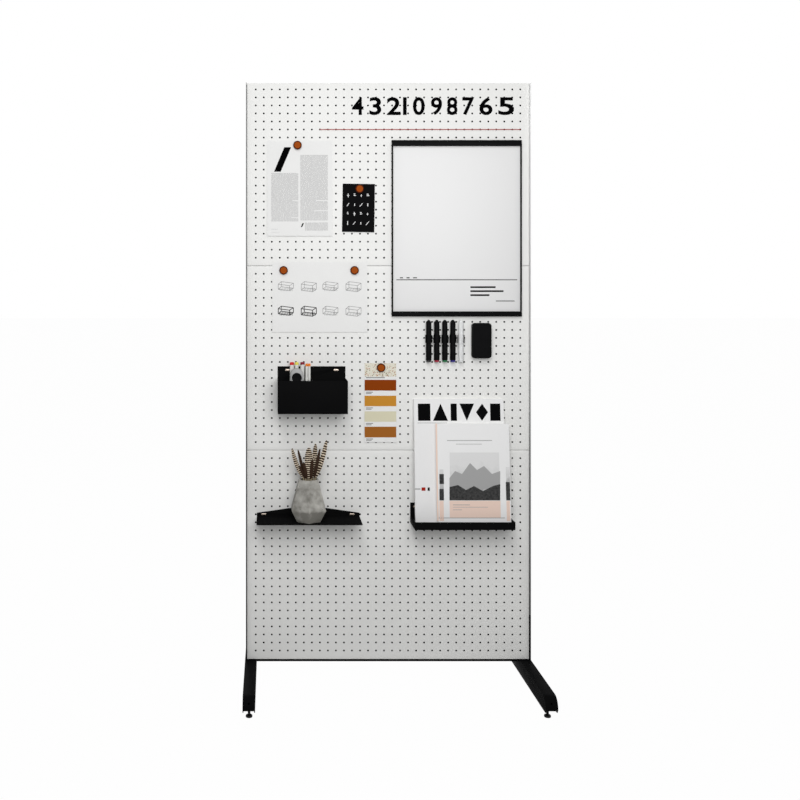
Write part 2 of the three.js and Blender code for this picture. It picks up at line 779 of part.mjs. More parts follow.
function tapeDispenser() {
  const radius = dispenserWidth / 2;
  const shape = new THREE.Shape();
  shape.moveTo(-radius, 0);
  shape.lineTo(radius, 0);
  shape.lineTo(radius, dispenserHeight - radius);
  shape.absarc(0, dispenserHeight - radius, radius, 0, Math.PI);
  return prism('y', shape, -dispenserDepth / 2, dispenserDepth / 2);
}
const dispenserX = pocketAt.left + dispenserOffset;
add(hung, 'tape_dispenser', tapeDispenser(), 'greyPlastic', dispenserX, -dispenserSetback, pocketFloor);

// Vase: a faceted body with an open neck
const vase = new THREE.Group();
vase.position.set(shelfAt.left + vaseOffset, -vaseSetback, shelfTop + touch);
hung.add(vase);

function vaseBody() {
  return turned([
    [0, 0],
    [vaseBaseRadius, 0],
    [vaseBellyRadius, vaseBellyHeight],
    [vaseMouthRadius, vaseHeight],
    [vaseMouthRadius - vaseWall, vaseHeight],
    [vaseBellyRadius - vaseWall, vaseBellyHeight],
    [vaseBaseRadius - vaseWall, vaseWall],
    [0, vaseWall],
  ], vaseFacets);
}
add(vase, 'vase', vaseBody(), 'concrete');

// Feathers: flat blades on stems that meet in one stalk on the vase's floor
function feather({ across, forward, up }) {
  const foot = new THREE.Vector3(0, 0, stalkHeight);
  const tip = new THREE.Vector3(across * featherSpread, forward * featherDepth, up * featherTop);
  const along = tip.clone().sub(foot);
  const length = along.length();
  const stem = new THREE.CylinderGeometry(stemRadius, stemRadius, length - featherLength / 2, pinSides / 2);
  stem.translate(0, (length - featherLength / 2) / 2, 0);
  const blade = new THREE.SphereGeometry(1, pinSides, arcSides * 2);
  blade.scale(featherWidth / 2, featherLength / 2, featherThickness / 2);
  blade.translate(0, length - featherLength / 2, 0);
  const turn = new THREE.Quaternion().setFromUnitVectors(new THREE.Vector3(0, 1, 0), along.normalize());
  const place = new THREE.Matrix4().compose(foot, turn, new THREE.Vector3(1, 1, 1));
  return [stem, blade].map((piece) => piece.applyMatrix4(place));
}

function featherBunch() {
  const stalkLow = vaseWall + touch;
  const knot = new THREE.SphereGeometry(stalkRadius, pinSides, pinSides / 2).translate(0, 0, stalkHeight);
  const stalk = new THREE.CylinderGeometry(stalkRadius, stalkRadius, stalkHeight - stalkLow, pinSides);
  stalk.rotateX(Math.PI / 2).translate(0, 0, (stalkLow + stalkHeight) / 2);
  return join(stalk, knot, ...featherShares.flatMap(feather));
}
add(vase, 'feathers', featherBunch(), 'feather');

// Magazine and book lean on the board, one before the other
function bound(width, height, thickness) {
  const shape = new THREE.Shape();
  shape.moveTo(spineRadius, 0);
  shape.lineTo(width, 0);
  shape.lineTo(width, -thickness);
  shape.lineTo(spineRadius, -thickness);
  shape.absarc(spineRadius, spineRadius - thickness, spineRadius, 3 * Math.PI / 2, Math.PI, true);
  shape.lineTo(0, -spineRadius);
  shape.absarc(spineRadius, -spineRadius, spineRadius, Math.PI, Math.PI / 2, true);
  return prism('z', shape, 0, height);
}

const leaning = new THREE.Group();
const ledgeFloor = ledgeAt.bottom + accessorySheet + touch;
leaning.position.set(ledgeAt.left, -magazineHeight * Math.sin(leanAngle), ledgeFloor);
leaning.rotation.x = -leanAngle;
hung.add(leaning);
const magazineShape = bound(magazineWidth, magazineHeight, magazineThickness);
add(leaning, 'magazine', magazineShape, 'cover', magazineOffset);
const bookY = -magazineThickness - touch;
const bookLift = bookY * Math.tan(leanAngle);
add(leaning, 'book', bound(bookWidth, bookHeight, bookThickness), 'cover', bookOffset, bookY, bookLift);

export default stand;
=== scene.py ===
import math

import bmesh
import bpy
from mathutils import Matrix, Vector


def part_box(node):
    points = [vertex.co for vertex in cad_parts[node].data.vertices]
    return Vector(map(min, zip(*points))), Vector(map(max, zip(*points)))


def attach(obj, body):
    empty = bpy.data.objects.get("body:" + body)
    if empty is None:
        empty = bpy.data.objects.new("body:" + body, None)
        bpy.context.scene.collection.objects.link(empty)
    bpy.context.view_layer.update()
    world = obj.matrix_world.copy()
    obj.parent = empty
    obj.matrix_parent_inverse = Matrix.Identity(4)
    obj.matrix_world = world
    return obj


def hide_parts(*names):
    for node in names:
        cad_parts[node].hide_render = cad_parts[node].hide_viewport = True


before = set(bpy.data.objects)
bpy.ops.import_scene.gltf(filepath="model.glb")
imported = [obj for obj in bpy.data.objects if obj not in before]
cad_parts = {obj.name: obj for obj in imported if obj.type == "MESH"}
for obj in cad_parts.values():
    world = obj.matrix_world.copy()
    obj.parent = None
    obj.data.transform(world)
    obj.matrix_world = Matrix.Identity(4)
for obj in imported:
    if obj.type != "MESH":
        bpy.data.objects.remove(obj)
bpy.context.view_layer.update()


# Camera: it stands level, three metres in front of the board's left half, and its shift frames the stand.
# The place and the shift follow from the photograph's scale of 3.17 mm to a pixel and its vanishing point.
picture_side = 800
vanishing_px = (270, 290.5)
camera_place = Vector((-0.374, -3.040, 1.243))
lens_length = 42.6
sensor_width = 36
upright = (math.pi / 2, 0, 0)
bpy.ops.object.camera_add(location=camera_place, rotation=upright)
camera = bpy.context.object
camera.data.lens = lens_length
camera.data.sensor_width = sensor_width
camera.data.shift_x = 0.5 - vanishing_px[0] / picture_side
camera.data.shift_y = vanishing_px[1] / picture_side - 0.5
bpy.context.scene.camera = camera
bpy.context.scene.view_settings.view_transform = "Standard"


# Floor, backdrop and light: a white studio with a soft lamp above, a large one in front and an even fill.
# Camera, glossy and transmission rays see plain white, and the floor keeps a part of the stand's shadow.
def colour(code):
    """An sRGB hex colour such as #8c3a14 as linear RGBA."""
    parts = [int(code[i:i + 2], 16) / 255 for i in (1, 3, 5)]
    return [c / 12.92 if c <= 0.04045 else ((c + 0.055) / 1.055) ** 2.4 for c in parts] + [1.0]


def add_node(tree, kind, links=None, values=None, **settings):
    """One shader node with its settings, its sockets' values and the links that come into it."""
    made = tree.nodes.new("ShaderNode" + kind)
    for name, value in settings.items():
        setattr(made, name, value)
    for socket, value in (values or {}).items():
        made.inputs[socket].default_value = value
    for socket, source in (links or {}).items():
        tree.links.new(source, made.inputs[socket])
    return made


def maths(tree, operation, *terms, clamp=False):
    """The result of a Math node whose terms are numbers or other nodes' outputs."""
    numbers = {i: term for i, term in enumerate(terms) if isinstance(term, (int, float))}
    links = {i: term for i, term in enumerate(terms) if i not in numbers}
    return add_node(tree, "Math", links, numbers, operation=operation, use_clamp=clamp).outputs[0]


def seen_by(tree, *kinds):
    """One where a ray is of any of these kinds, and nought elsewhere."""
    rays = add_node(tree, "LightPath")
    seen = rays.outputs[kinds[0]]
    for kind in kinds[1:]:
        seen = maths(tree, "MAXIMUM", seen, rays.outputs[kind])
    return seen


plain_white = (1, 1, 1, 1)
fill_strength = 0.3
floor_glow = 0.985
floor_side = 80

world = bpy.data.worlds.new("studio")
bpy.context.scene.world = world
world.use_nodes = True
sky = world.node_tree
sky.nodes.clear()
seen = seen_by(sky, "Is Camera Ray", "Is Glossy Ray", "Is Transmission Ray")
fill = add_node(sky, "Background", values={"Color": plain_white, "Strength": fill_strength})
white = add_node(sky, "Background", values={"Color": plain_white, "Strength": 1.0})
both = add_node(sky, "MixShader", {0: seen, 1: fill.outputs[0], 2: white.outputs[0]})
add_node(sky, "OutputWorld", {"Surface": both.outputs[0]})

for lamp_name, place, aim, size, power in (
    ("key_lamp", (-0.7, -2.6, 3.6), (0.0, 0.0, 1.35), 1.2, 26),
    ("front_lamp", (0.0, -1.9, 1.62), (0.0, 0.0, 1.55), 1.3, 21),
    ("rear_lamp", (-0.6, 3.0, 2.6), (0.0, 0.0, 1.0), 1.8, 36),
):
    turn = (Vector(aim) - Vector(place)).to_track_quat("-Z", "Y").to_euler()
    bpy.ops.object.light_add(type="AREA", location=place, rotation=turn)
    lamp = bpy.context.object
    lamp.name = lamp_name
    lamp.data.shape = "DISK"
    lamp.data.size = size
    lamp.data.energy = power

bpy.ops.object.select_all(action="DESELECT")
bpy.ops.mesh.primitive_plane_add(size=floor_side)
floor = bpy.context.object
floor.name = "studio_floor"
paint = bpy.data.materials.new("studio_white")
paint.use_nodes = True
tree = paint.node_tree
tree.nodes.clear()
share = maths(tree, "MULTIPLY", seen_by(tree, "Is Camera Ray", "Is Glossy Ray"), floor_glow)
matt = add_node(tree, "BsdfDiffuse", values={"Color": colour("#c8c8c8")})
glow = add_node(tree, "Emission", values={"Color": plain_white, "Strength": 1.0})
both = add_node(tree, "MixShader", {0: share, 1: matt.outputs[0], 2: glow.outputs[0]})
add_node(tree, "OutputMaterial", {"Surface": both.outputs[0]})
floor.data.materials.append(paint)


# Trays: three shallow trays of 1.5 mm steel sheet, punched in a 25.4 mm grid and folded back on four sides.
# They are powder coated white with a fine texture, and hang on the posts with a narrow seam between them.
def object_mode():
    """Leaves edit mode, where a piece is in it."""
    if bpy.context.mode != "OBJECT":
        bpy.ops.object.mode_set(mode="OBJECT")


def alone(piece):
    """Makes this piece the only one that is selected, and the active one."""
    object_mode()
    bpy.ops.object.select_all(action="DESELECT")
    piece.select_set(True)
    bpy.context.view_layer.objects.active = piece


def edit_all(piece):
    """Enters edit mode on this piece alone, with all of it selected."""
    alone(piece)
    bpy.ops.object.mode_set(mode="EDIT")
    bpy.ops.mesh.select_all(action="SELECT")


def begin(name, primitive, **settings):
    """A named primitive at its size and place, with nothing else selected."""
    object_mode()
    bpy.ops.object.select_all(action="DESELECT")
    primitive(**settings)
    piece = bpy.context.object
    piece.name = name
    piece.data.name = name
    bpy.ops.object.transform_apply(location=True, rotation=True, scale=True)
    return piece


def block(name, middle, size):
    """A box of this size round its middle."""
    return begin(name, bpy.ops.mesh.primitive_cube_add, size=1, location=middle, scale=size)


def pick(piece, test, kind="VERT"):
    """In edit mode, selects only the corners, edges or faces whose middle and normal pass the test."""
    if bpy.context.mode != "EDIT_MESH":
        edit_all(piece)
    bpy.ops.mesh.select_mode(type=kind)
    bpy.ops.mesh.select_all(action="DESELECT")
    shape = bmesh.from_edit_mesh(piece.data)
    for item in {"VERT": shape.verts, "EDGE": shape.edges, "FACE": shape.faces}[kind]:
        if kind == "VERT":
            chosen = test(item.co, item)
        elif kind == "EDGE":
            chosen = test((item.verts[0].co + item.verts[1].co) / 2, item)
        else:
            chosen = test(item.calc_center_median(), item)
        if chosen:
            item.select_set(True)
    shape.select_flush_mode()
    bmesh.update_edit_mesh(piece.data)


def extrude(kind, move):
    """Extrudes the selected EDGES or REGION and moves what is new."""
    tools = {"EDGES": bpy.ops.mesh.extrude_edges_move, "REGION": bpy.ops.mesh.extrude_region_move}
    tools[kind](TRANSFORM_OT_translate={"value": move})


def add_modifier(piece, kind, **settings):
    """A modifier with these settings, which stays on the piece."""
    made = piece.modifiers.new(kind.lower(), kind)
    for name, value in settings.items():
        setattr(made, name, value)
    return made


def stretch(factors, centre):
    """Stretches what is selected by these factors about a centre."""
    bpy.ops.transform.resize(value=factors, center_override=centre)


def modify(piece, kind, **settings):
    """Adds a modifier with these settings and applies it."""
    alone(piece)
    bpy.ops.object.modifier_apply(modifier=add_modifier(piece, kind, **settings).name)


weld_distance = 0.000004


def complete(piece, body, slot, material, *nodes, smooth=30, second=None, where=None):
    """Last steps on a piece: outward faces, shading that is smooth under an angle, finish, body and nodes.

    The faces for which where holds get the second finish.
    """
    edit_all(piece)
    bpy.ops.mesh.remove_doubles(threshold=weld_distance)
    bpy.ops.mesh.normals_make_consistent(inside=False)
    object_mode()
    bpy.ops.object.transform_apply(location=True, rotation=True, scale=True)
    bpy.ops.object.shade_smooth_by_angle(angle=math.radians(smooth))
    piece.data.materials.clear()
    piece.data.materials.append(material)
    if second:
        piece.data.materials.append(second)
        for face in piece.data.polygons:
            face.material_index = 1 if where(face) else 0
    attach(piece, body)
    if nodes:
        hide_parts(*nodes)


def surface(name, base, rough, metallic=0.0, specular=0.5, grains=None, **sockets):
    """A material with a Principled shader of these values and Object coordinates.

    Grains are the size and height in millimetres, and the detail (2 if left out), of a noise for the bump.
    """
    made = bpy.data.materials.new(name)
    made.use_nodes = True
    tree = made.node_tree
    tree.nodes.clear()
    values = {"Base Color": colour(base), "Roughness": rough, "Metallic": metallic,
              "Specular IOR Level": specular, **sockets}
    shader = add_node(tree, "BsdfPrincipled", values=values, name="shader")
    add_node(tree, "OutputMaterial", {"Surface": shader.outputs[0]})
    place = add_node(tree, "TexCoord", name="place").outputs["Object"]
    if grains:
        millimetres, height, detail = (*grains, 2.0)[:3]
        fine = noise_of(tree, place, 1000.0 / millimetres, detail, 0.55)
        bump = add_node(tree, "Bump", {"Height": fine}, {"Strength": 1.0, "Distance": height / 1000})
        feed(tree, "Normal", bump.outputs[0])
    return made


def inside(material):
    """A material's node tree and its Object coordinates."""
    return material.node_tree, material.node_tree.nodes["place"].outputs["Object"]


def feed(tree, socket, source):
    """Links an output to a socket of the material's shader."""
    tree.links.new(source, tree.nodes["shader"].inputs[socket])


def noise_of(tree, place, scale, detail, roughness=0.5):
    """The value of a noise in space."""
    values = {"Scale": scale, "Detail": detail, "Roughness": roughness}
    return add_node(tree, "TexNoise", {"Vector": place}, values).outputs[0]


def mapped(tree, value, low, high, new_low=0.0, new_high=1.0):
    """A value moved from one range to another, and kept inside it."""
    span = {"From Min": low, "From Max": high, "To Min": new_low, "To Max": new_high}
    return add_node(tree, "MapRange", {"Value": value}, span).outputs[0]


def mixed(tree, share, first, second):
    """The colour between two, each a hex colour or another node's output."""
    made = add_node(tree, "Mix", {0: share}, data_type="RGBA")
    for socket, term in ((6, first), (7, second)):
        if isinstance(term, str):
            made.inputs[socket].default_value = colour(term)
        else:
            tree.links.new(term, made.inputs[socket])
    return made.outputs[2]


def vary(material, millimetres, low, high, first, second):
    """Lets a broad noise of this size move the roughness from low to high, and the colour between two."""
    tree, place = inside(material)
    broad = noise_of(tree, place, 1000.0 / millimetres, 3.0)
    feed(tree, "Roughness", mapped(tree, broad, 0.3, 0.7, low, high))
    feed(tree, "Base Color", mixed(tree, broad, first, second))


# Powder coat, white: fine-textured polyester baked on steel; it gives a matt, faintly grained warm white.
white_coat = surface("powder_coated_steel_white", "#e9e9e7", 0.5, grains=(0.9, 0.03))
vary(white_coat, 90, 0.46, 0.56, "#e8e8e6", "#ebebe9")

# Black card, painted shade: it stands for the shade inside the trays behind the holes; it is matt and
# swallows the light.
painted_shade_black = surface("painted_shade_board_black", "#030303", 0.95, specular=0.0, grains=(0.8, 0.05))

pitch = 0.0254
hole_radius = 0.0031
hole_sides = 8
columns = 34
sheet = 0.0015
top_hole_drop = 0.0198
fold_radius = 0.0014
shade_card_depth = 0.0056
shade_card_thickness = 0.0006
shade_card_inset = 0.0025
tiny = 0.00001
first_column = -pitch * (columns - 1) / 2
board_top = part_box("upper_panel")[1].z


def widen(tray, centre):
    """Extrudes the selected ring of corners round a hole out to a square of one pitch."""
    extrude("EDGES", (0, 0, 0))
    stretch((pitch / 2 / hole_radius,) * 3, centre)
    shape = bmesh.from_edit_mesh(tray.data)
    for corner in shape.verts:
        away = corner.co - centre
        corner.select = corner.select and min(abs(away.x), abs(away.z)) > pitch / 5
    shape.select_flush_mode()
    bmesh.update_edit_mesh(tray.data)
    stretch((math.sqrt(2),) * 3, centre)


def frame_out(factors, towards, move):
    """Extrudes the selected loop, stretches it about a point and moves it."""
    extrude("EDGES", (0, 0, 0))
    stretch(factors, towards)
    bpy.ops.transform.translate(value=move)


first_row = 0
for tray_name, node, rows in (
    ("upper_tray", "upper_panel", 22), ("middle_tray", "middle_panel", 22), ("lower_tray", "lower_panel", 25),
):
    low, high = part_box(node)
    last_z = board_top - top_hole_drop - pitch * (first_row + rows - 1)
    at = Vector((first_column, low.y, last_z))
    tray = begin(tray_name, bpy.ops.mesh.primitive_circle_add, vertices=hole_sides, radius=hole_radius,
                 fill_type="NOTHING", location=at, rotation=(-math.pi / 2, 0, 0))
    pick(tray, lambda co, v: True)
    widen(tray, at)
    pick(tray, lambda co, v: (co - at).length < hole_radius * 1.1)
    extrude("EDGES", (0, sheet, 0))
    widen(tray, at + Vector((0, sheet, 0)))
    for count, step in ((columns, (pitch, 0, 0)), (rows, (0, 0, pitch))):
        modify(tray, "ARRAY", count=count, use_relative_offset=False, use_constant_offset=True,
               constant_offset_displace=step, use_merge_vertices=True, merge_threshold=tiny)

    # the folds: from the grid's edge out to the tray's outline, back, in by the sheet and forward again
    middle = (low + high) / 2
    half = (high - low) / 2
    grid_half = Vector((pitch * columns / 2, 0, pitch * rows / 2))
    grid_middle = Vector((0, low.y, last_z + pitch * (rows - 1) / 2))
    outer = (half.x / grid_half.x, 1, half.z / grid_half.z)
    inner = ((half.x - sheet) / half.x, 1, (half.z - sheet) / half.z)
    again = (grid_half.x / (half.x - sheet), 1, grid_half.z / (half.z - sheet))
    pick(tray, lambda co, e: e.is_boundary and co.y < low.y + sheet / 2, "EDGE")
    frame_out(outer, grid_middle, (0, 0, middle.z - grid_middle.z))
    frame_out((1, 1, 1), middle, (0, high.y - low.y, 0))
    frame_out(inner, middle, (0, 0, 0))
    frame_out((1, 1, 1), middle, (0, low.y + sheet - high.y, 0))
    frame_out(again, middle, (0, 0, grid_middle.z - middle.z))
    bpy.ops.mesh.select_all(action="SELECT")
    bpy.ops.mesh.remove_doubles(threshold=3 * tiny)
    pick(tray, lambda co, e: co.y < low.y + 10 * tiny and (
        abs(abs(co.x) - half.x) < 5 * tiny or abs(abs(co.z - middle.z) - half.z) < 5 * tiny), "EDGE")
    bpy.ops.mesh.bevel(offset=fold_radius, segments=3)

    # the holes' rims take the same black, as painted shade in the holes
    complete(tray, "stand", "white_steel", white_coat, node, second=painted_shade_black,
             where=lambda face: (abs(face.normal.y) < 0.1 and face.area < tiny
                                 and low.y < face.center.y < low.y + sheet))

    # the dark card behind the sheet, clear of the tails of the studs: painted shade for the tray's inside
    card = block(tray_name + "_shade_card", (0, low.y + shade_card_depth, middle.z),
                 (2 * (half.x - shade_card_inset), shade_card_thickness, 2 * (half.z - shade_card_inset)))
    modify(card, "BEVEL", width=shade_card_thickness / 3, segments=2)
    complete(card, "stand", "black_steel", painted_shade_black)

    # a seam takes the place of one row
    first_row += rows + 1


# Posts, rails and edge strips: steel tubes and flat bars, white like the trays, and black at the bottom.
# They are welded and bolted behind the trays; their sharp model edges get a small radius here.
def soften(node, width, material, angle=30):
    """Gives a kept node merged corners, rounded edges and a finish. Its own mesh stays as it is."""
    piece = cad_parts[node]
    add_modifier(piece, "WELD", merge_threshold=tiny)
    if width:
        add_modifier(piece, "BEVEL", width=width, segments=2, limit_method="ANGLE",
                     angle_limit=math.radians(angle))
    alone(piece)
    bpy.ops.object.shade_smooth_by_angle(angle=math.radians(angle))
    piece.data.materials.clear()
    piece.data.materials.append(material)


def ramp_of(tree, value, stops, interpolation="LINEAR"):
    """The colour of a ramp with these stops, each a place and a hex colour, in rising order."""
    made = add_node(tree, "ValToRGB", {0: value})
    made.color_ramp.interpolation = interpolation
    for index, (position, code) in enumerate(stops):
        stop = made.color_ramp.elements[index] if index < 2 else made.color_ramp.elements.new(1.0)
        stop.position = position
        stop.color = colour(code)
    return made.outputs[0]


# Powder coat, black: the same polyester coat in jet black; it is matt with a soft sheen on the folds.
black_coat = surface("powder_coated_steel_black", "#0a0a0b", 0.55, specular=0.008, grains=(0.9, 0.03))
vary(black_coat, 70, 0.46, 0.56, "#0c0c0c", "#101011")

# Clear-coated steel strip: its colour is a painted reflection of the studio, painted darker towards the floor
# and the left.
painted_reflection_steel = surface("steel_strip_painted_reflection", "#e0e0e0", 0.45)
tree, place = inside(painted_reflection_steel)
axes = add_node(tree, "SeparateXYZ", {0: place})
strip_span = 2.0
# painted reflection: a height in metres and a tone; the left strip is painted darker than the right
right_painted_reflection_stops = (
    (0.12, "#0c0c0c"), (0.26, "#585858"), (0.58, "#8c8c8c"),
    (1.05, "#c4c4c4"), (1.4, "#dedede"), (1.85, "#f2f2f2"),
)
left_painted_reflection_stops = (
    (0.12, "#050505"), (0.26, "#101010"), (0.58, "#333333"),
    (1.05, "#6a6a6a"), (1.4, "#808080"), (1.85, "#929292"),
)
share = maths(tree, "DIVIDE", axes.outputs["Z"], strip_span)
left_painted_reflection, right_painted_reflection = (
    ramp_of(tree, share, [(height / strip_span, code) for height, code in stops])
    for stops in (left_painted_reflection_stops, right_painted_reflection_stops)
)
on_right = maths(tree, "GREATER_THAN", axes.outputs["X"], 0.0)
feed(tree, "Base Color", mixed(tree, on_right, left_painted_reflection, right_painted_reflection))

tube_edge = 0.0006
strip_edge = 0.0002
for node in ("left_post", "right_post", "top_rail", "upper_rail", "lower_rail"):
    soften(node, tube_edge, white_coat)
for node in ("left_edge_strip", "right_edge_strip"):
    soften(node, strip_edge, painted_reflection_steel)
for node in ("bottom_rail", "left_foot_upright", "right_foot_upright"):
    soften(node, tube_edge, black_coat)


# Feet and levellers: inverted steel channels with round noses, black, on screwed plastic pads.
# Each leveller is a moulded pad on a blackened stem, with a plated lock nut under the plate in the foot.
foot_edge = 0.0012
for node in ("left_foot", "right_foot"):
    soften(node, foot_edge, black_coat)

# Moulded black nylon gives the pads a dull face; blackened steel is a dark metal and zinc plate a bright one.
pad_plastic = surface("moulded_nylon_black", "#101010", 0.5, specular=0.2, grains=(0.6, 0.02))
dark_steel = surface("blackened_steel", "#242424", 0.5, metallic=0.6, specular=0.1, grains=(1, 0.02))
zinc = surface("zinc_plated_steel", "#b9bab8", 0.3, metallic=1.0)
vary(zinc, 6, 0.25, 0.4, "#aeb0ae", "#c4c4c0")


def turned(name, centre, rings, sides=32):
    """A closed turned shape round an upright axis: a circle extruded through rings of (height, radius)."""
    x, y, z = centre
    piece = begin(name, bpy.ops.mesh.primitive_circle_add, vertices=sides, radius=rings[0][1],
                  fill_type="NGON", location=(x, y, z + rings[0][0]))
    edit_all(piece)
    for before, (height, radius) in zip(rings, rings[1:]):
        extrude("REGION", (0, 0, height - before[0]))
        share = radius / before[1]
        stretch((share, share, 1), (x, y, z + height))
    object_mode()
    return piece


pad_top = 0.008
pad_rings = [
    (0, 0.0088), (0.0008, 0.0098), (0.0035, 0.01), (0.0055, 0.0094), (0.007, 0.0072), (pad_top, 0.0055),
]
thread_turns = 40
thread_pitch = 0.0012
thread_radius = 0.004
core_radius = 0.0034
stem_point = 0.0016
stem_point_radii = (0.0036, 0.003)
nut_low = 0.044
nut_high = 0.0492
nut_radius = 0.0075
nut_edge = 0.0006
nut_end_radius = 0.0068

thread_rings = []
for turn in range(thread_turns):
    z = pad_top + turn * thread_pitch
    thread_rings += [(z, core_radius), (z + thread_pitch / 2, thread_radius)]
nut_rings = [(nut_low, nut_end_radius), (nut_low + nut_edge, nut_radius),
             (nut_high - nut_edge, nut_radius), (nut_high, nut_end_radius)]
for side in ("left", "right"):
    for end in ("front", "rear"):
        node = f"{side}_{end}_leveller"
        low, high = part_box(node)
        centre = ((low.x + high.x) / 2, (low.y + high.y) / 2, 0)
        pad = turned(node + "_pad", centre, pad_rings, 48)
        complete(pad, node, "leveller", pad_plastic)
        point = [(high.z - stem_point, stem_point_radii[0]), (high.z, stem_point_radii[1])]
        stem = turned(node + "_stem", centre, thread_rings + point, 24)
        nut = turned(node + "_nut", centre, nut_rings, 6)
        complete(nut, node, "chrome", zinc, smooth=20)
        complete(stem, node, "leveller", dark_steel, node, smooth=50)


# Pocket, gable shelf and ledge: folded 2 mm steel, powder coated black, each hung on two plated studs.
# The folds have a small radius, and the cut edges are broken.
for node, width in (("pocket", 0.0009), ("gable_shelf", 0.0008), ("ledge", 0.0009)):
    soften(node, width, black_coat)

# Chrome plate: it gives the stud heads a polished shine; its warm tone is a painted reflection of warm
# surroundings.
chrome = surface("chromed_steel", "#a0948a", 0.22, metallic=1.0)
vary(chrome, 4, 0.18, 0.3, "#9a8e84", "#a89c90")
head_depth = 0.0025
head_dome = 0.0021
shank_radius = 0.0022
shank_start = 0.001
shank_socket = 0.003


def cylinder(name, middle, radius, depth, sides=48):
    """A cylinder whose axis runs from the front to the back."""
    return begin(name, bpy.ops.mesh.primitive_cylinder_add, vertices=sides, radius=radius, depth=depth,
                 location=middle, rotation=upright)


for shelf in ("pocket", "shelf", "ledge"):
    for side in ("left", "right"):
        node = f"{shelf}_{side}_stud"
        low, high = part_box(node)
        middle = (low + high) / 2
        head_middle = (middle.x, low.y + head_depth / 2, middle.z)
        stud = cylinder(node + "_head", head_middle, (high.z - low.z) / 2, head_depth)
        # an oval: the two half rounds move apart
        reach = (high.x - low.x - (high.z - low.z)) / 2
        for way in (-1, 1):
            pick(stud, lambda co, v: (co.x - middle.x) * way > 2 * tiny)
            bpy.ops.transform.translate(value=(reach * way, 0, 0))
        pick(stud, lambda co, f: co.y < low.y + 10 * tiny, "FACE")
        bpy.ops.mesh.bevel(offset=head_dome, segments=6)
        shank_middle = (middle.x, middle.y + shank_start / 2, middle.z)
        shank = cylinder(node + "_shank", shank_middle, shank_radius, high.y - low.y - shank_start, 24)
        pick(shank, lambda co, f: co.y > high.y - 10 * tiny, "FACE")
        extrude("REGION", (0, -shank_socket, 0))
        complete(shank, "stand", "chrome", zinc)
        complete(stud, "stand", "chrome", chrome, node)


# Whiteboard: an enamelled steel sheet in a thin black frame with deeper bars at the top and bottom.
# A ruled line and a few plain bars are printed on it; the print is a thin film of ink.
# Moulded ABS gives frames, clips and pens a satin black; vitreous enamel gives a smooth, bright sheet.
satin_black = surface("moulded_abs_black", "#0b0b0c", 0.5, specular=0.02, grains=(0.7, 0.015))
vary(satin_black, 30, 0.32, 0.44, "#0d0d0e", "#131314")
frame_edge = 0.0007
soften("whiteboard_frame", frame_edge, satin_black)
enamel = surface("vitreous_enamel_white", "#ececec", 0.45, specular=0.12, grains=(14, 0.02))
enamel_edge = 0.0003
soften("whiteboard_sheet", enamel_edge, enamel)

# Screen ink: a dense matt black; it shows as a hard-edged print without a shine.
ink = surface("screen_ink_black", "#060607", 0.7, specular=0.0, grains=(0.5, 0.01))

focal_px = lens_length / sensor_width * picture_side
film_thickness = 0.00006
film_step = 0.0001


def seen_at(px, py, plane):
    """Where a photo point lies on a plane, as x and z. A plane is a y, the z of that y, and a slope."""
    y, z, slope = plane
    across = (px - vanishing_px[0]) / focal_px
    up = (vanishing_px[1] - py) / focal_px
    reach = (y - camera_place.y + (camera_place.z - z) * slope) / (1 - up * slope)
    return (camera_place.x + across * reach, camera_place.z + up * reach)


def film(name, shapes, plane, body, slot, material):
    """A thin printed film on a plane: each shape is a list of corners, or two opposite ones, in x and z."""
    y, z, slope = plane
    parts = []
    for corners in shapes:
        if len(corners) == 2:
            (x0, z0), (x1, z1) = corners
            corners = [(x0, z0), (x1, z0), (x1, z1), (x0, z1)]
        part = begin(name, bpy.ops.mesh.primitive_circle_add, vertices=len(corners), fill_type="NGON")
        for corner, (across, up) in zip(part.data.vertices, corners):
            corner.co = (across, y + (up - z) * slope, up)
        parts.append(part)
    alone(parts[0])
    for part in parts:
        part.select_set(True)
    if len(parts) > 1:
        bpy.ops.object.join()
    piece = bpy.context.object
    piece.name = name
    edit_all(piece)
    extrude("REGION", (0, -film_thickness, 0))
    complete(piece, body, slot, material)


def printed(name, places, plane, body, slot, material):
    """A film whose shapes are photo places: a bar's x0, y0, x1 and y1, or the corners of an outline."""
    corners = [place if isinstance(place[0], tuple) else (place[:2], place[2:]) for place in places]
    shapes = [[seen_at(*point, plane) for point in points] for points in corners]
    film(name, shapes, plane, body, slot, material)


whiteboard_bars_px = (
    (396.4, 279.4, 517.3, 280.2), (400, 277.3, 403, 278.3), (406.5, 277.3, 409.6, 278.3),
    (413, 277.3, 417, 278.3), (470.4, 286.3, 495.6, 288), (470.4, 290.3, 503.5, 292),
    (470.4, 294.3, 489.4, 296), (496, 300.6, 514.6, 301.4),
)
face_plane = (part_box("whiteboard_sheet")[0].y, 0, 0)
printed("whiteboard_print", whiteboard_bars_px, face_plane, "stand", "black_plastic", ink)


# Header: a straight wire, enamelled red, plugged into two holes, and ten plain black card numerals above it.
# The wire is 2.5 mm thick; the numerals are pressed on the board's face.
red_enamel = surface("enamelled_wire_red", "#a33a36", 0.35)
vary(red_enamel, 12, 0.3, 0.42, "#9a322f", "#ad433e")
soften("header_wire", 0, red_enamel, 60)

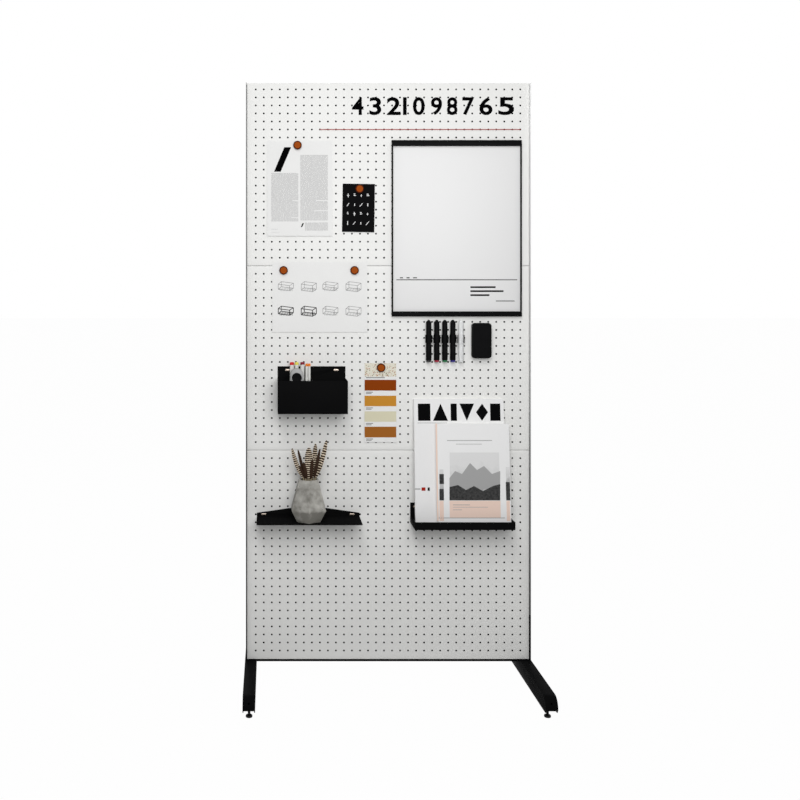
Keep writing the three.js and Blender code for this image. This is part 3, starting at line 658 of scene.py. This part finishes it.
header_numerals = "4321098765"
numeral_spans_px = (
    (352, 363.5), (369.4, 381.2), (386.8, 400.6), (403, 406.6), (412.9, 424.7),
    (431, 442), (446.9, 457.4), (462.3, 474.2), (479.5, 492.4), (498.3, 514),
)
numeral_top_px = 97.3
numeral_foot_px = 115
numeral_thickness = 0.0008
numeral_extrusion = 0.012
numeral_swelling = 0.02
board_plane = (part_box("upper_panel")[0].y, 0, 0)
numeral_foot = seen_at(0, numeral_foot_px, board_plane)[1]
numeral_height = seen_at(0, numeral_top_px, board_plane)[1] - numeral_foot
for index, (start, end) in enumerate(numeral_spans_px):
    bpy.ops.object.select_all(action="DESELECT")
    bpy.ops.object.text_add(rotation=upright)
    numeral = bpy.context.object
    numeral.name = f"numeral_{index + 1}"
    numeral.data.body = header_numerals[index]
    numeral.data.extrude = numeral_extrusion
    numeral.data.offset = numeral_swelling
    bpy.ops.object.convert(target="MESH")
    bpy.ops.object.transform_apply(location=True, rotation=True, scale=True)
    corners = [v.co for v in numeral.data.vertices]
    low, high = (Vector(end_of(c[i] for c in corners) for i in range(3)) for end_of in (min, max))
    x0, x1 = seen_at(start, 0, board_plane)[0], seen_at(end, 0, board_plane)[0]
    wanted = Vector((x1 - x0, numeral_thickness, numeral_height))
    edit_all(numeral)
    bpy.ops.transform.translate(value=(x0 - low.x, board_plane[0] - high.y, numeral_foot - low.z))
    factors = [wanted[i] / (high[i] - low[i]) for i in range(3)]
    stretch(factors, (x0, board_plane[0], numeral_foot))
    complete(numeral, "stand", "black_card", ink)


# Papers and cards: loose sheets, each held by magnets near its top, so that the foot stands off a little.
# Their print is generic: grey ruled columns, plain line drawings, white marks and bands of colour.
# Uncoated paper gives a matt, faintly toned white; black printed card gives a smooth black without a shine.
paper = surface("uncoated_paper_white", "#ececeb", 0.8, specular=0.2, grains=(0.5, 0.02))
vary(paper, 60, 0.75, 0.85, "#e9e9e8", "#eeeeed")
card_black = surface("offset_printed_card_black", "#0c0c0d", 0.5, specular=0.01, grains=(0.6, 0.015))
vary(card_black, 40, 0.45, 0.58, "#0b0b0c", "#101011")

paper_thickness = 0.0002
card_thickness = 0.0006
black_card_size = (0.102, 0.1527)
black_card_turn = math.radians(0.9)
stand_off = 0.01


def leaf(node, material, slot, thickness, size=None, turn=0.0):
    """A sheet in place of its node, hanging from its top edge. A turned one has its own width and height."""
    low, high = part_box(node)
    width, height = size or (high.x - low.x, high.z - low.z)
    foot_z = low.z + width * math.sin(turn)
    middle = (low.x + width / 2, high.y - film_step, foot_z + height / 2)
    piece = begin(node + "_leaf", bpy.ops.mesh.primitive_grid_add, x_subdivisions=16, y_subdivisions=16,
                  size=1, location=middle, rotation=upright)
    edit_all(piece)
    stretch((width, 1, height), middle)
    bpy.ops.transform.rotate(value=-turn, orient_axis="Y", center_override=(low.x, high.y, foot_z))
    bpy.ops.transform.rotate(value=stand_off, orient_axis="X", center_override=(0, high.y, high.z))
    modify(piece, "SOLIDIFY", thickness=thickness, offset=1)
    complete(piece, "stand", slot, material, node)
    return (low.y - film_step, high.z, stand_off)


text_plane = leaf("text_sheet", paper, "paper", paper_thickness)
sketch_plane = leaf("sketch_sheet", paper, "paper", paper_thickness)
card_plane = leaf("black_card", card_black, "black_card", card_thickness, black_card_size, black_card_turn)
sample_plane = leaf("sample_card", paper, "sample_card", card_thickness)

# Toner, grey: fine rules that a noise breaks up into words, too small to hold letters; it reads as text.
text_grey = surface("laser_print_grey", "#dddddd", 0.8, specular=0.2)
line_pitch = 0.0032
tree, place = inside(text_grey)
axes = add_node(tree, "SeparateXYZ", {0: place})
line = maths(tree, "DIVIDE", axes.outputs["Z"], line_pitch)
stroke = maths(tree, "LESS_THAN", maths(tree, "FRACT", line), 0.5)
spot = add_node(tree, "CombineXYZ", {0: axes.outputs["X"], 2: maths(tree, "FLOOR", line)})
word = maths(tree, "GREATER_THAN", noise_of(tree, spot.outputs[0], 300.0, 1.0), 0.42)
inked = maths(tree, "MULTIPLY", stroke, word)
feed(tree, "Base Color", mixed(tree, inked, "#e8e8e7", "#b6b6b6"))

text_columns_px = (
    (271.2, 173, 298.3, 200), (271.2, 200, 293, 201), (271.2, 201, 298.3, 217), (271.2, 217, 291, 218),
    (271.2, 218, 298.3, 221.3), (300.3, 155, 327.8, 200), (300.3, 200, 316, 201), (300.3, 201, 327.8, 210),
    (300.3, 210, 314, 211), (300.3, 211, 327.8, 220.5), (305, 222.5, 327.8, 230.5), (271, 229.0, 278, 229.6),
    (271, 232.2, 280, 232.8),
)
text_stripes_px = (
    ((284.3, 147.2), (291.1, 147.2), (280.7, 171.7), (274, 171.7)),
    ((302.6, 223), (304, 223), (302.2, 227), (300.8, 227)),
)
printed("text_sheet_columns", text_columns_px, text_plane, "stand", "paper", text_grey)
printed("text_sheet_stripe", text_stripes_px, text_plane, "stand", "paper", ink)

# Offset ink, white: opaque and matt; it gives the card's slender white marks.
white_ink = surface("offset_ink_white", "#e6e6e6", 0.6, grains=(0.5, 0.01))
mark_rows = 4
mark_start_px = (348.2, 195.4)
mark_across_px = (6.6, 0.1)
mark_down_px = (-0.2, 9.2)
mark_reach = 0.0058
mark_reach_step = 0.001
thin = 0.0012
marks = []
for row in range(mark_rows):
    for column in range(mark_rows):
        x, z = seen_at(mark_start_px[0] + column * mark_across_px[0] + row * mark_down_px[0],
                       mark_start_px[1] + column * mark_across_px[1] + row * mark_down_px[1], card_plane)
        tall = mark_reach - mark_reach_step * ((row + column) % 3)
        kind = (row + 2 * column) % 4
        if kind in (0, 3):
            marks.append([(x - thin, z - tall), (x + thin, z + tall)])
        if kind == 0:
            marks.append([(x - tall * 0.6, z - thin), (x + tall * 0.6, z + thin)])
        elif kind == 1:
            marks.append([(x - tall, z - tall), (x - tall + 2 * thin, z - tall),
                          (x + tall, z + tall), (x + tall - 2 * thin, z + tall)])
        elif kind == 2:
            marks.append([(x - tall * 0.7, z - thin), (x + tall * 0.7, z + thin)])
            marks.append([(x - tall * 0.7, z + 3 * thin), (x + tall * 0.4, z + 5 * thin)])
film("black_card_marks", marks, card_plane, "stand", "black_card", white_ink)

# Graphite: a soft pencil and a darker, thicker one; both lie matt on the paper and show as drawn lines.
pencil = surface("graphite_pencil_grey", "#7c7c7c", 0.55, grains=(0.6, 0.02))
pencil_dark = surface("graphite_pencil_dark", "#242424", 0.55, specular=0.2, grains=(0.6, 0.02))


def stroke_between(a, b, width):
    """A thin straight pencil stroke from a to b, as four corners."""
    (x0, z0), (x1, z1) = a, b
    length = math.hypot(x1 - x0, z1 - z0)
    ox, oz = -(z1 - z0) / length * width / 2, (x1 - x0) / length * width / 2
    return [(x0 + ox, z0 + oz), (x1 + ox, z1 + oz), (x1 - ox, z1 - oz), (x0 - ox, z0 - oz)]


drawing_rows_px = (286.7, 311.2)
drawing_columns_px = (285.8, 308.8, 330.4, 353.5)
drawing_half = 0.024
drawing_height = 0.016
pencil_width = 0.0013
dark_pencil_width = 0.0024
hatch_lines = 9
hatch_slant = 0.003
hatch_weight = 0.7
strokes = {"light": [], "dark": []}
for row, py in enumerate(drawing_rows_px):
    for column, px in enumerate(drawing_columns_px):
        x, z = seen_at(px, py, sketch_plane)
        dark = row == 1 and column < 2
        target = strokes["dark" if dark else "light"]
        w, h = drawing_half, drawing_height
        thick = dark_pencil_width if dark else pencil_width
        top = [(x - w * 0.6, z + h), (x + w, z + h * 0.7), (x + w * 0.5, z + h * 0.2), (x - w, z + h * 0.5)]
        base = [(cx, cz - h * (1.0 + 0.2 * (column % 2))) for cx, cz in top]
        for ring in (top, base):
            for i in range(4):
                target.append(stroke_between(ring[i], ring[(i + 1) % 4], thick))
        for a, b in zip(top, base):
            target.append(stroke_between(a, b, thick))
        for i in range(hatch_lines):
            upper_x = x + w * (-0.85 + 1.6 * i / (hatch_lines - 1))
            ends = (upper_x, z - h * 0.2), (upper_x + hatch_slant, z - h * 0.85)
            target.append(stroke_between(*ends, thick * hatch_weight))
film("sketch_strokes", strokes["light"], sketch_plane, "stand", "paper", pencil)
film("sketch_strokes_dark", strokes["dark"], sketch_plane, "stand", "paper", pencil_dark)

# Printed colours: four solid bands in the tones of wood, ochre and stone, with a satin varnish.
sample_left_px = 364.6
sample_right_px = 396.2
for name, code, top, bottom in (
    ("umber", "#8a3c07", 379.8, 390.6), ("ochre", "#c98c34", 395.7, 406.2),
    ("stone", "#dad5ba", 411.4, 421.7), ("tan", "#a16328", 426.7, 437.4),
):
    band = surface("printed_colour_" + name, code, 0.45, specular=0.03, grains=(0.6, 0.015))
    band_px = (sample_left_px, top, sample_right_px, bottom)
    printed("sample_band_" + name, [band_px], sample_plane, "stand", "sample_card", band)

# Printed terrazzo: a cream ground with sparse brown, rust, olive and grey chips; it reads as polished stone.
chips = surface("printed_terrazzo", "#dcd8c8", 0.45)
chip_stops = ((0.0, "#8a6a4c"), (0.3, "#a4532c"), (0.5, "#77755a"), (0.7, "#9a9a96"), (0.85, "#b08e5a"))
tree, place = inside(chips)
cells = add_node(tree, "TexVoronoi", {"Vector": place}, {"Scale": 230.0})
kind = add_node(tree, "SeparateXYZ", {0: cells.outputs["Color"]})
chip_colour = ramp_of(tree, kind.outputs["X"], chip_stops, "CONSTANT")
near = maths(tree, "LESS_THAN", cells.outputs["Distance"], 0.38)
some = maths(tree, "LESS_THAN", kind.outputs["Y"], 0.45)
chip = maths(tree, "MULTIPLY", near, some)
feed(tree, "Base Color", mixed(tree, chip, "#dcd8c8", chip_colour))

terrazzo_px = (sample_left_px, 363.2, sample_right_px, 376.6)
printed("sample_terrazzo", [terrazzo_px], sample_plane, "stand", "sample_card", chips)
label_left_px = 366
label_rows_px = (391.8, 407.5, 423.1, 438.6)
labels_px = [(label_left_px, 377.2, 385, 378.1)]
for py in label_rows_px:
    labels_px += [(label_left_px, py, 373, py + 0.8), (label_left_px, py + 1.4, 371.5, py + 2.1)]
printed("sample_labels", labels_px, sample_plane, "stand", "sample_card", pencil)


# Magnets: strong round magnets covered in tan leather, with a darker, burnished rim.
# They sit on the sheets by their own pull.
leather = surface("vegetable_tanned_leather", "#9a480e", 0.6, specular=0.05)
tree, place = inside(leather)
cell = add_node(tree, "TexVoronoi", {"Vector": place}, {"Scale": 1400.0})
bump = add_node(tree, "Bump", {"Height": cell.outputs[0]}, {"Strength": 0.5, "Distance": 0.0001})
feed(tree, "Normal", bump.outputs[0])
vary(leather, 7, 0.52, 0.66, "#92400c", "#a45012")
rim_leather = surface("burnished_leather_edge", "#481806", 0.5, specular=0.06, grains=(0.5, 0.03))

disc_edge = 0.002
disc_border = 0.0008
groove_width = 0.0004
groove_depth = 0.0003
rim_width = 0.0034
for node in ("text_magnet", "card_magnet", "sketch_left_magnet", "sketch_right_magnet", "sample_magnet"):
    low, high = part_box(node)
    middle = (low + high) / 2
    radius = (high.x - low.x) / 2
    disc = cylinder(node + "_disc", middle, radius, high.y - low.y)
    pick(disc, lambda co, f: co.y < low.y + 10 * tiny, "FACE")
    bpy.ops.mesh.bevel(offset=disc_edge, segments=4)
    pick(disc, lambda co, f: co.y < low.y + 10 * tiny and f.normal.y < -0.99, "FACE")
    bpy.ops.mesh.inset(thickness=disc_border)
    bpy.ops.mesh.inset(thickness=groove_width, depth=-groove_depth)
    bpy.ops.mesh.inset(thickness=groove_width, depth=groove_depth)
    complete(disc, node, "magnet_leather", rim_leather, node, second=leather,
             where=lambda face: (math.hypot(face.center.x - middle.x, face.center.z - middle.z)
                                 < radius - rim_width and face.center.y < middle.y))


# Markers, clips and eraser: black moulded pens, cap down in open spring clips, and a felt-backed eraser.
# The end of each cap shows the ink's colour; the fifth pen is clear.
# Clear polystyrene lets some of the light through, and looks pale and a little cloudy.
clear = surface("clear_polystyrene", "#f6f7f7", 0.12, **{"Transmission Weight": 0.3, "IOR": 1.2})
tip_colours = {
    "black": "#101011", "red": "#9b1232", "green": "#0f6b3c", "blue": "#20107a", "clear": "#e2e4e4",
}
tips = {}
for name, code in tip_colours.items():
    tips[name] = surface("moulded_tip_" + name, code, 0.35, grains=(0.6, 0.01))

cap = 0.056
tip_length = 0.0054
clip_edge = 0.0004
for name in tip_colours:
    node = name + "_marker"
    low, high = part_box(node)
    centre = ((low.x + high.x) / 2, (low.y + high.y) / 2, low.z)
    length = high.z - low.z
    wide = (high.x - low.x) / 2
    marker = turned(node + "_body", centre, [(along, share * wide) for along, share in (
        (0.0, 0.78), (0.0006, 0.85), (0.0052, 0.9), (0.0056, 0.975), (0.007, 1.0), (cap - 0.0012, 1.0),
        (cap, 0.96), (cap + 0.0004, 0.83), (cap + 0.0012, 0.83), (cap + 0.0016, 0.93), (cap + 0.003, 0.95),
        (length - 0.0076, 0.95), (length - 0.0066, 0.9), (length - 0.001, 0.34), (length, 0.25),
    )], 40)
    slot, shell = ("clear_plastic", clear) if name == "clear" else ("black_plastic", satin_black)
    complete(marker, node, slot, shell, node, second=tips[name],
             where=lambda face: face.center.z < low.z + tip_length)
    soften(node + "_clip", clip_edge, satin_black)

# Felt: pressed grey wool on the eraser's back; it is rough and takes no light.
felt = surface("pressed_felt_grey", "#2a2a2b", 0.95, grains=(0.8, 0.3, 4))
felt_depth = 0.006
felt_inset = 0.003
felt_corner = 0.009
eraser_corner = 0.01
eraser_edge = 0.004
eraser_border = 0.002
eraser_groove = 0.0006
low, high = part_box("eraser")
middle = (low + high) / 2
size = high - low


def runs_back(co, edge):
    """Whether an edge runs from the front to the back."""
    return abs(edge.verts[0].co.y - edge.verts[1].co.y) > felt_depth - 0.001


shell_middle = (middle.x, middle.y - felt_depth / 2, middle.z)
eraser = block("eraser_shell", shell_middle, (size.x, size.y - felt_depth, size.z))
pick(eraser, runs_back, "EDGE")
bpy.ops.mesh.bevel(offset=eraser_corner, segments=8)
pick(eraser, lambda co, f: co.y < low.y + 10 * tiny, "FACE")
bpy.ops.mesh.bevel(offset=eraser_edge, segments=5)
pick(eraser, lambda co, f: f.normal.y < -0.99 and f.calc_area() > 0.001, "FACE")
bpy.ops.mesh.inset(thickness=eraser_border)
bpy.ops.mesh.inset(thickness=eraser_groove, depth=-eraser_groove)
complete(eraser, "eraser", "black_plastic", satin_black, "eraser")
pad = block("eraser_felt", (middle.x, high.y - felt_depth / 2, middle.z),
            (size.x - felt_inset, felt_depth, size.z - felt_inset))
pick(pad, runs_back, "EDGE")
bpy.ops.mesh.bevel(offset=felt_corner, segments=6)
complete(pad, "eraser", "black_plastic", felt)


# Pens and tape dispenser: ballpoints with short coloured caps, and an arch-shaped dispenser, in the pocket.
# The barrels are moulded in glossy white, the orange pair held together; the dispenser has a black reel.
barrel = surface("moulded_polystyrene_white", "#ecece8", 0.22, grains=(3, 0.01))
cap_length = 0.0075
pen_point_radius = 0.0015
leaning_pen = "dark_red_pen"
pen_lean = 0.02
leaning_foot = 0.0065
for node, code, offsets, radius, length in (
    ("red_pen", "#d01a12", (0.0,), 0.007, 0.152), ("yellow_pen", "#e8de5c", (0.0,), 0.0063, 0.152),
    ("dark_red_pen", "#7e0c28", (0.0,), 0.0068, 0.152),
    ("orange_pen", "#f08214", (-0.0043, 0.0043), 0.0041, 0.1475),
):
    low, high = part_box(node)
    foot_x = low.x + leaning_foot if node == leaning_pen else (low.x + high.x) / 2
    cap_name = "moulded_cap_" + node.replace("_pen", "")
    cap_material = surface(cap_name, code, 0.35, specular=0.2, grains=(3, 0.01))
    seam = length - cap_length
    pen_rings = [(along, share * radius) for along, share in (
        (0.006, 0.55), (0.012, 0.85), (0.02, 0.96), (seam - 0.001, 0.96), (seam, 1.0), (seam + 0.001, 1.0),
        (length - 0.002, 0.97), (length - 0.0005, 0.88), (length, 0.75),
    )]
    for index, offset in enumerate(offsets):
        centre = (foot_x + offset, (low.y + high.y) / 2, low.z)
        pen = turned(f"{node}_body_{index + 1}", centre, [(0.0, pen_point_radius)] + pen_rings)
        if node == leaning_pen:
            edit_all(pen)
            bpy.ops.transform.rotate(value=-pen_lean, orient_axis="Y", center_override=centre)
        complete(pen, node, "white_plastic", barrel, *([node] if index == 0 else []), second=cap_material,
                 where=lambda face: face.center.z > low.z + seam - 0.0005)

# Moulded ABS, grey: a matt eggshell finish with a faint mottle.
grey_abs = surface("moulded_abs_grey", "#9a9a9a", 0.4, grains=(0.7, 0.015))
vary(grey_abs, 20, 0.35, 0.46, "#949494", "#a0a0a0")
dispenser_edge = 0.002
soften("tape_dispenser", dispenser_edge, grey_abs)
reel_radius = 0.0153
reel_drop = 0.0288
reel_proud = 0.003
reel_border = 0.002
reel_step = 0.0015
reel_step_depth = 0.001
reel_edge = 0.0003
low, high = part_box("tape_dispenser")
reel_middle = ((low.x + high.x) / 2, (low.y + high.y) / 2, high.z - reel_drop)
reel = cylinder("tape_reel", reel_middle, reel_radius, high.y - low.y + reel_proud)
pick(reel, lambda co, f: abs(f.normal.y) > 0.99, "FACE")
bpy.ops.mesh.inset(thickness=reel_border, use_individual=True)
bpy.ops.mesh.inset(thickness=reel_step, depth=-reel_step_depth, use_individual=True)
modify(reel, "BEVEL", width=reel_edge, segments=2, limit_method="ANGLE")
complete(reel, "tape_dispenser", "grey_plastic", satin_black)


# Vase: a small faceted vase, cast in grey concrete and sealed matt; its few air pits are dark spots of
# painted shade.
# Its six sides widen to a belly and draw in again to an open mouth; one corner faces forward.
vase_low, vase_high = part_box("vase")
vase_middle = (vase_low + vase_high) / 2
rim = vase_high.z - vase_low.z
belly = 0.037
floor_top = 0.005
wall = 0.005
vase_edge = 0.0012
base_radius, belly_radius, mouth_radius = 0.041, 0.0614, 0.034

concrete = surface("cast_concrete_grey", "#8f8b84", 0.85, specular=0.2, grains=(1.5, 0.25, 6))
tree, place = inside(concrete)
# the air pits are not cut: the dark spots in the colour are their painted shade
pits = add_node(tree, "TexVoronoi", {"Vector": place}, {"Scale": 75.0, "Randomness": 1.0})
pit_shade_mask = mapped(tree, pits.outputs["Distance"], 0.04, 0.1)
rise = add_node(tree, "SeparateXYZ", {0: place}).outputs["Z"]
# the facets below the belly face the floor: their darker tone is painted shade
below_belly_painted_shade = mapped(tree, rise, vase_low.z + belly - 0.007, vase_low.z + belly + 0.005, -0.55, 0.0)
cloud = mapped(tree, noise_of(tree, place, 45.0, 6.0), 0.3, 0.7)
share = maths(tree, "ADD", cloud, below_belly_painted_shade, clamp=True)
tone = mixed(tree, share, "#7d7b75", "#bcbab4")
feed(tree, "Base Color", mixed(tree, pit_shade_mask, "#4c4843", tone))

vase = turned("vase_body", (vase_middle.x, vase_middle.y, vase_low.z), [
    (0, base_radius), (belly, belly_radius), (rim, mouth_radius),
    (rim, mouth_radius - wall), (belly, belly_radius - wall), (floor_top, base_radius - wall),
], 6)
modify(vase, "BEVEL", width=vase_edge, segments=2, limit_method="ANGLE", angle_limit=math.radians(15))
complete(vase, "vase", "concrete", concrete, "vase", smooth=12)


# Feathers: four barred and two dark feathers, and three short dark ones between; each is a quill with a vane.
# They stand in the vase, and their vanes begin at its mouth and fan out above it.
barred = surface("barred_feather_vane", "#7a5a3c", 0.75, specular=0.1)
bar_stops = ((0.0, "#2a1a10"), (0.35, "#3e2818"), (0.6, "#d8c6aa"), (1.0, "#e8dcc8"))
tree, place = inside(barred)
uv = add_node(tree, "UVMap")
along = add_node(tree, "SeparateXYZ", {0: uv.outputs[0]}).outputs["Y"]
wave = maths(tree, "MULTIPLY", along, 100.0)
barring = maths(tree, "SINE", maths(tree, "MULTIPLY_ADD", noise_of(tree, place, 160.0, 3.0), 5.0, wave))
feed(tree, "Base Color", ramp_of(tree, barring, bar_stops))
dark_vane = surface("dark_feather_vane", "#33241a", 0.75, specular=0.1, grains=(0.5, 0.1))
quill = surface("feather_quill", "#cdbb98", 0.4, grains=(0.8, 0.02))

# tip and root in the photograph, the vane's width, its place before the middle, its bend and its finish
feathers = (
    ((292, 448), 303.5, 0.013, 0.004, -0.004, barred), ((297.8, 449.4), 305, 0.009, -0.01, 0, dark_vane),
    ((308.8, 447.4), 309, 0.026, 0.012, 0, barred), ((315.6, 443.4), 312, 0.017, -0.005, 0.001, barred),
    ((320, 448.6), 314, 0.01, 0.008, 0, dark_vane), ((326.6, 440), 315.5, 0.015, -0.002, 0.003, barred),
    ((303.5, 462), 307, 0.01, 0.015, 0, dark_vane), ((312.5, 459), 311, 0.011, 0.016, 0, dark_vane),
    ((299.5, 466), 305.5, 0.008, 0.008, 0, dark_vane),
)
vane_cup = 0.0014
vane_thickness = 0.0006
quill_foot = 0.03
mouth = Vector((vase_middle.x, vase_middle.y, vase_high.z))
for index, (tip_px, root_px, width, forward, bend, finish) in enumerate(feathers):
    plane = (mouth.y - forward, 0, 0)
    tip_x, tip_z = seen_at(*tip_px, plane)
    tip = Vector((tip_x, plane[0], tip_z))
    root = Vector((seen_at(root_px, 0, plane)[0], mouth.y - forward * 0.7, mouth.z + 0.001))
    foot = Vector((mouth.x + (root.x - mouth.x) * 0.3, mouth.y - forward * 0.3, vase_low.z + quill_foot))
    reach = (tip - root).length
    vane = begin(f"feather_{index + 1}_vane", bpy.ops.mesh.primitive_grid_add, x_subdivisions=8,
                 y_subdivisions=40, size=1, rotation=upright, calc_uvs=True)
    # it widens over its lowest third, narrows again above two fifths, and its edges are ragged
    for corner in vane.data.vertices:
        across, up = corner.co.x, corner.co.z + 0.5
        broad = min(1.0, up / 0.3) ** 0.5 * math.sqrt(max(0.0, 1 - max(0.0, (up - 0.4) / 0.6) ** 2.4))
        ragged = 1 + 0.1 * math.sin(up * 90 + across * 3 + index) * abs(across) * 2
        corner.co = (across * width * broad * ragged + bend * 4 * up * (1 - up),
                     -vane_cup * (1 - (across * 2) ** 2) * broad, up * reach)
    modify(vane, "SOLIDIFY", thickness=vane_thickness, offset=0)
    shaft_rings = [(0, 0.0009), (reach * 0.5, 0.0006), (reach * 0.96, 0.0002)]
    shaft = turned(f"feather_{index + 1}_shaft", (0, 0, 0), shaft_rings, 8)
    stem_rings = [(0, 0.0011), ((root - foot).length + 0.002, 0.0009)]
    stem = turned(f"feather_{index + 1}_stem", (0, 0, 0), stem_rings, 8)
    parts = ((vane, root, tip, finish), (shaft, root, tip, quill), (stem, foot, root, quill))
    for part, start, end, material in parts:
        turn = Vector((0, 0, 1)).rotation_difference((end - start).normalized()).to_matrix().to_4x4()
        part.data.transform(Matrix.Translation(start) @ turn)
        nodes = ["feathers"] if part is vane and index == 0 else []
        complete(part, "feathers", "feather", material, *nodes)


# Magazine and book: a thick magazine and a bound book with generic covers, leaning back in the ledge.
# Coated covers round a block of white pages; the print is a thin film on the cover.
pages = surface("trimmed_page_block", "#ecebe6", 0.8, grains=(0.4, 0.05))
covers = {"ground": surface("coated_cover_ground", "#1a1a1a", 0.5, specular=0.01)}
vary(covers["ground"], 6, 0.45, 0.55, "#000000", "#5c5c5c")
for name, code, rough in (
    ("pale", "#f0f0f0", 0.4), ("peach", "#f0d6c8", 0.5), ("black", "#080809", 0.5), ("red", "#a32a20", 0.5),
    ("grey", "#a8a8a8", 0.5), ("picture", "#6f6f6f", 0.5),
):
    covers[name] = surface("coated_cover_" + name, code, rough, specular=0.01, grains=(1.2, 0.01))

# The picture is a plain landscape: a pale sky over a grey ridge and a broken, dark ground.
sky_stops = (
    (0.0, "#101010"), (0.34, "#1c1c1c"), (0.46, "#8a8a8a"),
    (0.6, "#bcbcbc"), (0.8, "#d8d8d8"), (1.0, "#e2e2e2"),
)
tree, place = inside(covers["picture"])
height = add_node(tree, "SeparateXYZ", {0: place}).outputs["Z"]
level = mapped(tree, height, 0.59, 0.76)
broken = maths(tree, "MULTIPLY_ADD", noise_of(tree, place, 45.0, 5.0), 0.7, level)
feed(tree, "Base Color", ramp_of(tree, broken, sky_stops))

lean = math.radians(6)
spine_radius = 0.0035
page_inset = 0.0006
clearance = 0.00002
cover_planes = {}
page_area = 0.0008
for node, w, h, t in (("magazine", 0.284, 0.391, 0.011), ("book", 0.227, 0.315, 0.014)):
    low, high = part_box(node)
    foot = Vector((low.x, high.y - h * math.sin(lean), low.z))
    cover = block(node + "_cover", foot + Vector((w, -t, h)) / 2, (w, t, h))
    pick(cover, lambda co, e: co.x < foot.x + w / 2 and abs(e.verts[0].co.z - e.verts[1].co.z) > h / 2,
         "EDGE")
    bpy.ops.mesh.bevel(offset=spine_radius, segments=5)
    pick(cover, lambda co, f: f.normal.x > 0.9 or abs(f.normal.z) > 0.9, "FACE")
    bpy.ops.mesh.inset(thickness=page_inset, use_individual=True)
    bpy.ops.mesh.select_all(action="SELECT")
    bpy.ops.transform.rotate(value=lean, orient_axis="X", center_override=foot)
    complete(cover, node, "cover", covers["pale"], node, second=pages,
             where=lambda face: face.area > page_area and (face.normal.x > 0.9 or abs(face.normal.z) > 0.9))
    front = foot.y - t * math.cos(lean) - clearance
    cover_planes[node] = (front, foot.z + t * math.sin(lean), math.tan(lean))

blocks_px = (
    (417.8, 403.6, 430.5, 420.8), (450.5, 403.6, 457, 420.8), (490, 403.6, 500.6, 420.8),
    ((433, 420.8), (448, 420.8), (440.5, 403.6)), ((459.5, 403.6), (474, 403.6), (466.8, 420.8)),
    ((476, 412.2), (482, 403.6), (488, 412.2), (482, 420.8)),
)
magazine_rules_px = ((417.5, 422.7, 447, 423.2), (414.8, 488.4, 420.5, 489.6))
red_bar_px = (421.5, 487.4, 425.5, 490.8)
black_bar_px = (427.6, 487.4, 429.8, 490.8)
book_bands_px = (
    (435.4, 423.6, 438.8, 521), (439.3, 500.8, 444, 521), (449.5, 500.8, 500.9, 517.6),
    (506.4, 500.8, 510.4, 521),
)
pictures_px = ((449.5, 452.5, 500.2, 500.4), (439.3, 469.4, 444, 500.4), (505.8, 467, 510.4, 500.4))
ridge_px = (
    (449.5, 489), (449.5, 478), (455, 471), (462, 474), (470, 463),
    (477, 470), (484, 466), (492, 474), (500.2, 471), (500.2, 489),
)
hill_px = (
    (449.5, 500.4), (449.5, 487), (458, 485), (466, 490), (474, 486),
    (483, 491), (493, 486), (500.2, 484), (500.2, 500.4),
)
hills_px = (hill_px, (439.3, 474, 444, 484), (439.3, 489, 444, 500.4), (505.8, 482, 510.4, 500.4))
book_rules_px = ((447, 440.2, 492, 440.9), (456, 443.9, 482, 444.4), (438.8, 517.6, 505, 518.3))
band_rules_px = ((453, 504.6, 470, 505.2), (453, 507.0, 488, 507.4), (453, 509.6, 462, 510.1))

# print that lies on other print stands one or two film steps before it
for node, name, places, finish, steps in (
    ("magazine", "blocks", blocks_px, "black", 0), ("magazine", "rules", magazine_rules_px, "grey", 0),
    ("magazine", "red_bar", [red_bar_px], "red", 0), ("magazine", "black_bar", [black_bar_px], "black", 0),
    ("book", "bands", book_bands_px, "peach", 0), ("book", "picture", pictures_px, "picture", 0),
    ("book", "ridge", [ridge_px], "grey", 1), ("book", "hill", hills_px, "ground", 2),
    ("book", "rules", book_rules_px, "grey", 0), ("book", "band_rules", band_rules_px, "grey", 1),
):
    y, z, slope = cover_planes[node]
    plane = (y - steps * film_step, z, slope)
    printed(f"{node}_{name}", places, plane, node, "cover", covers[finish])
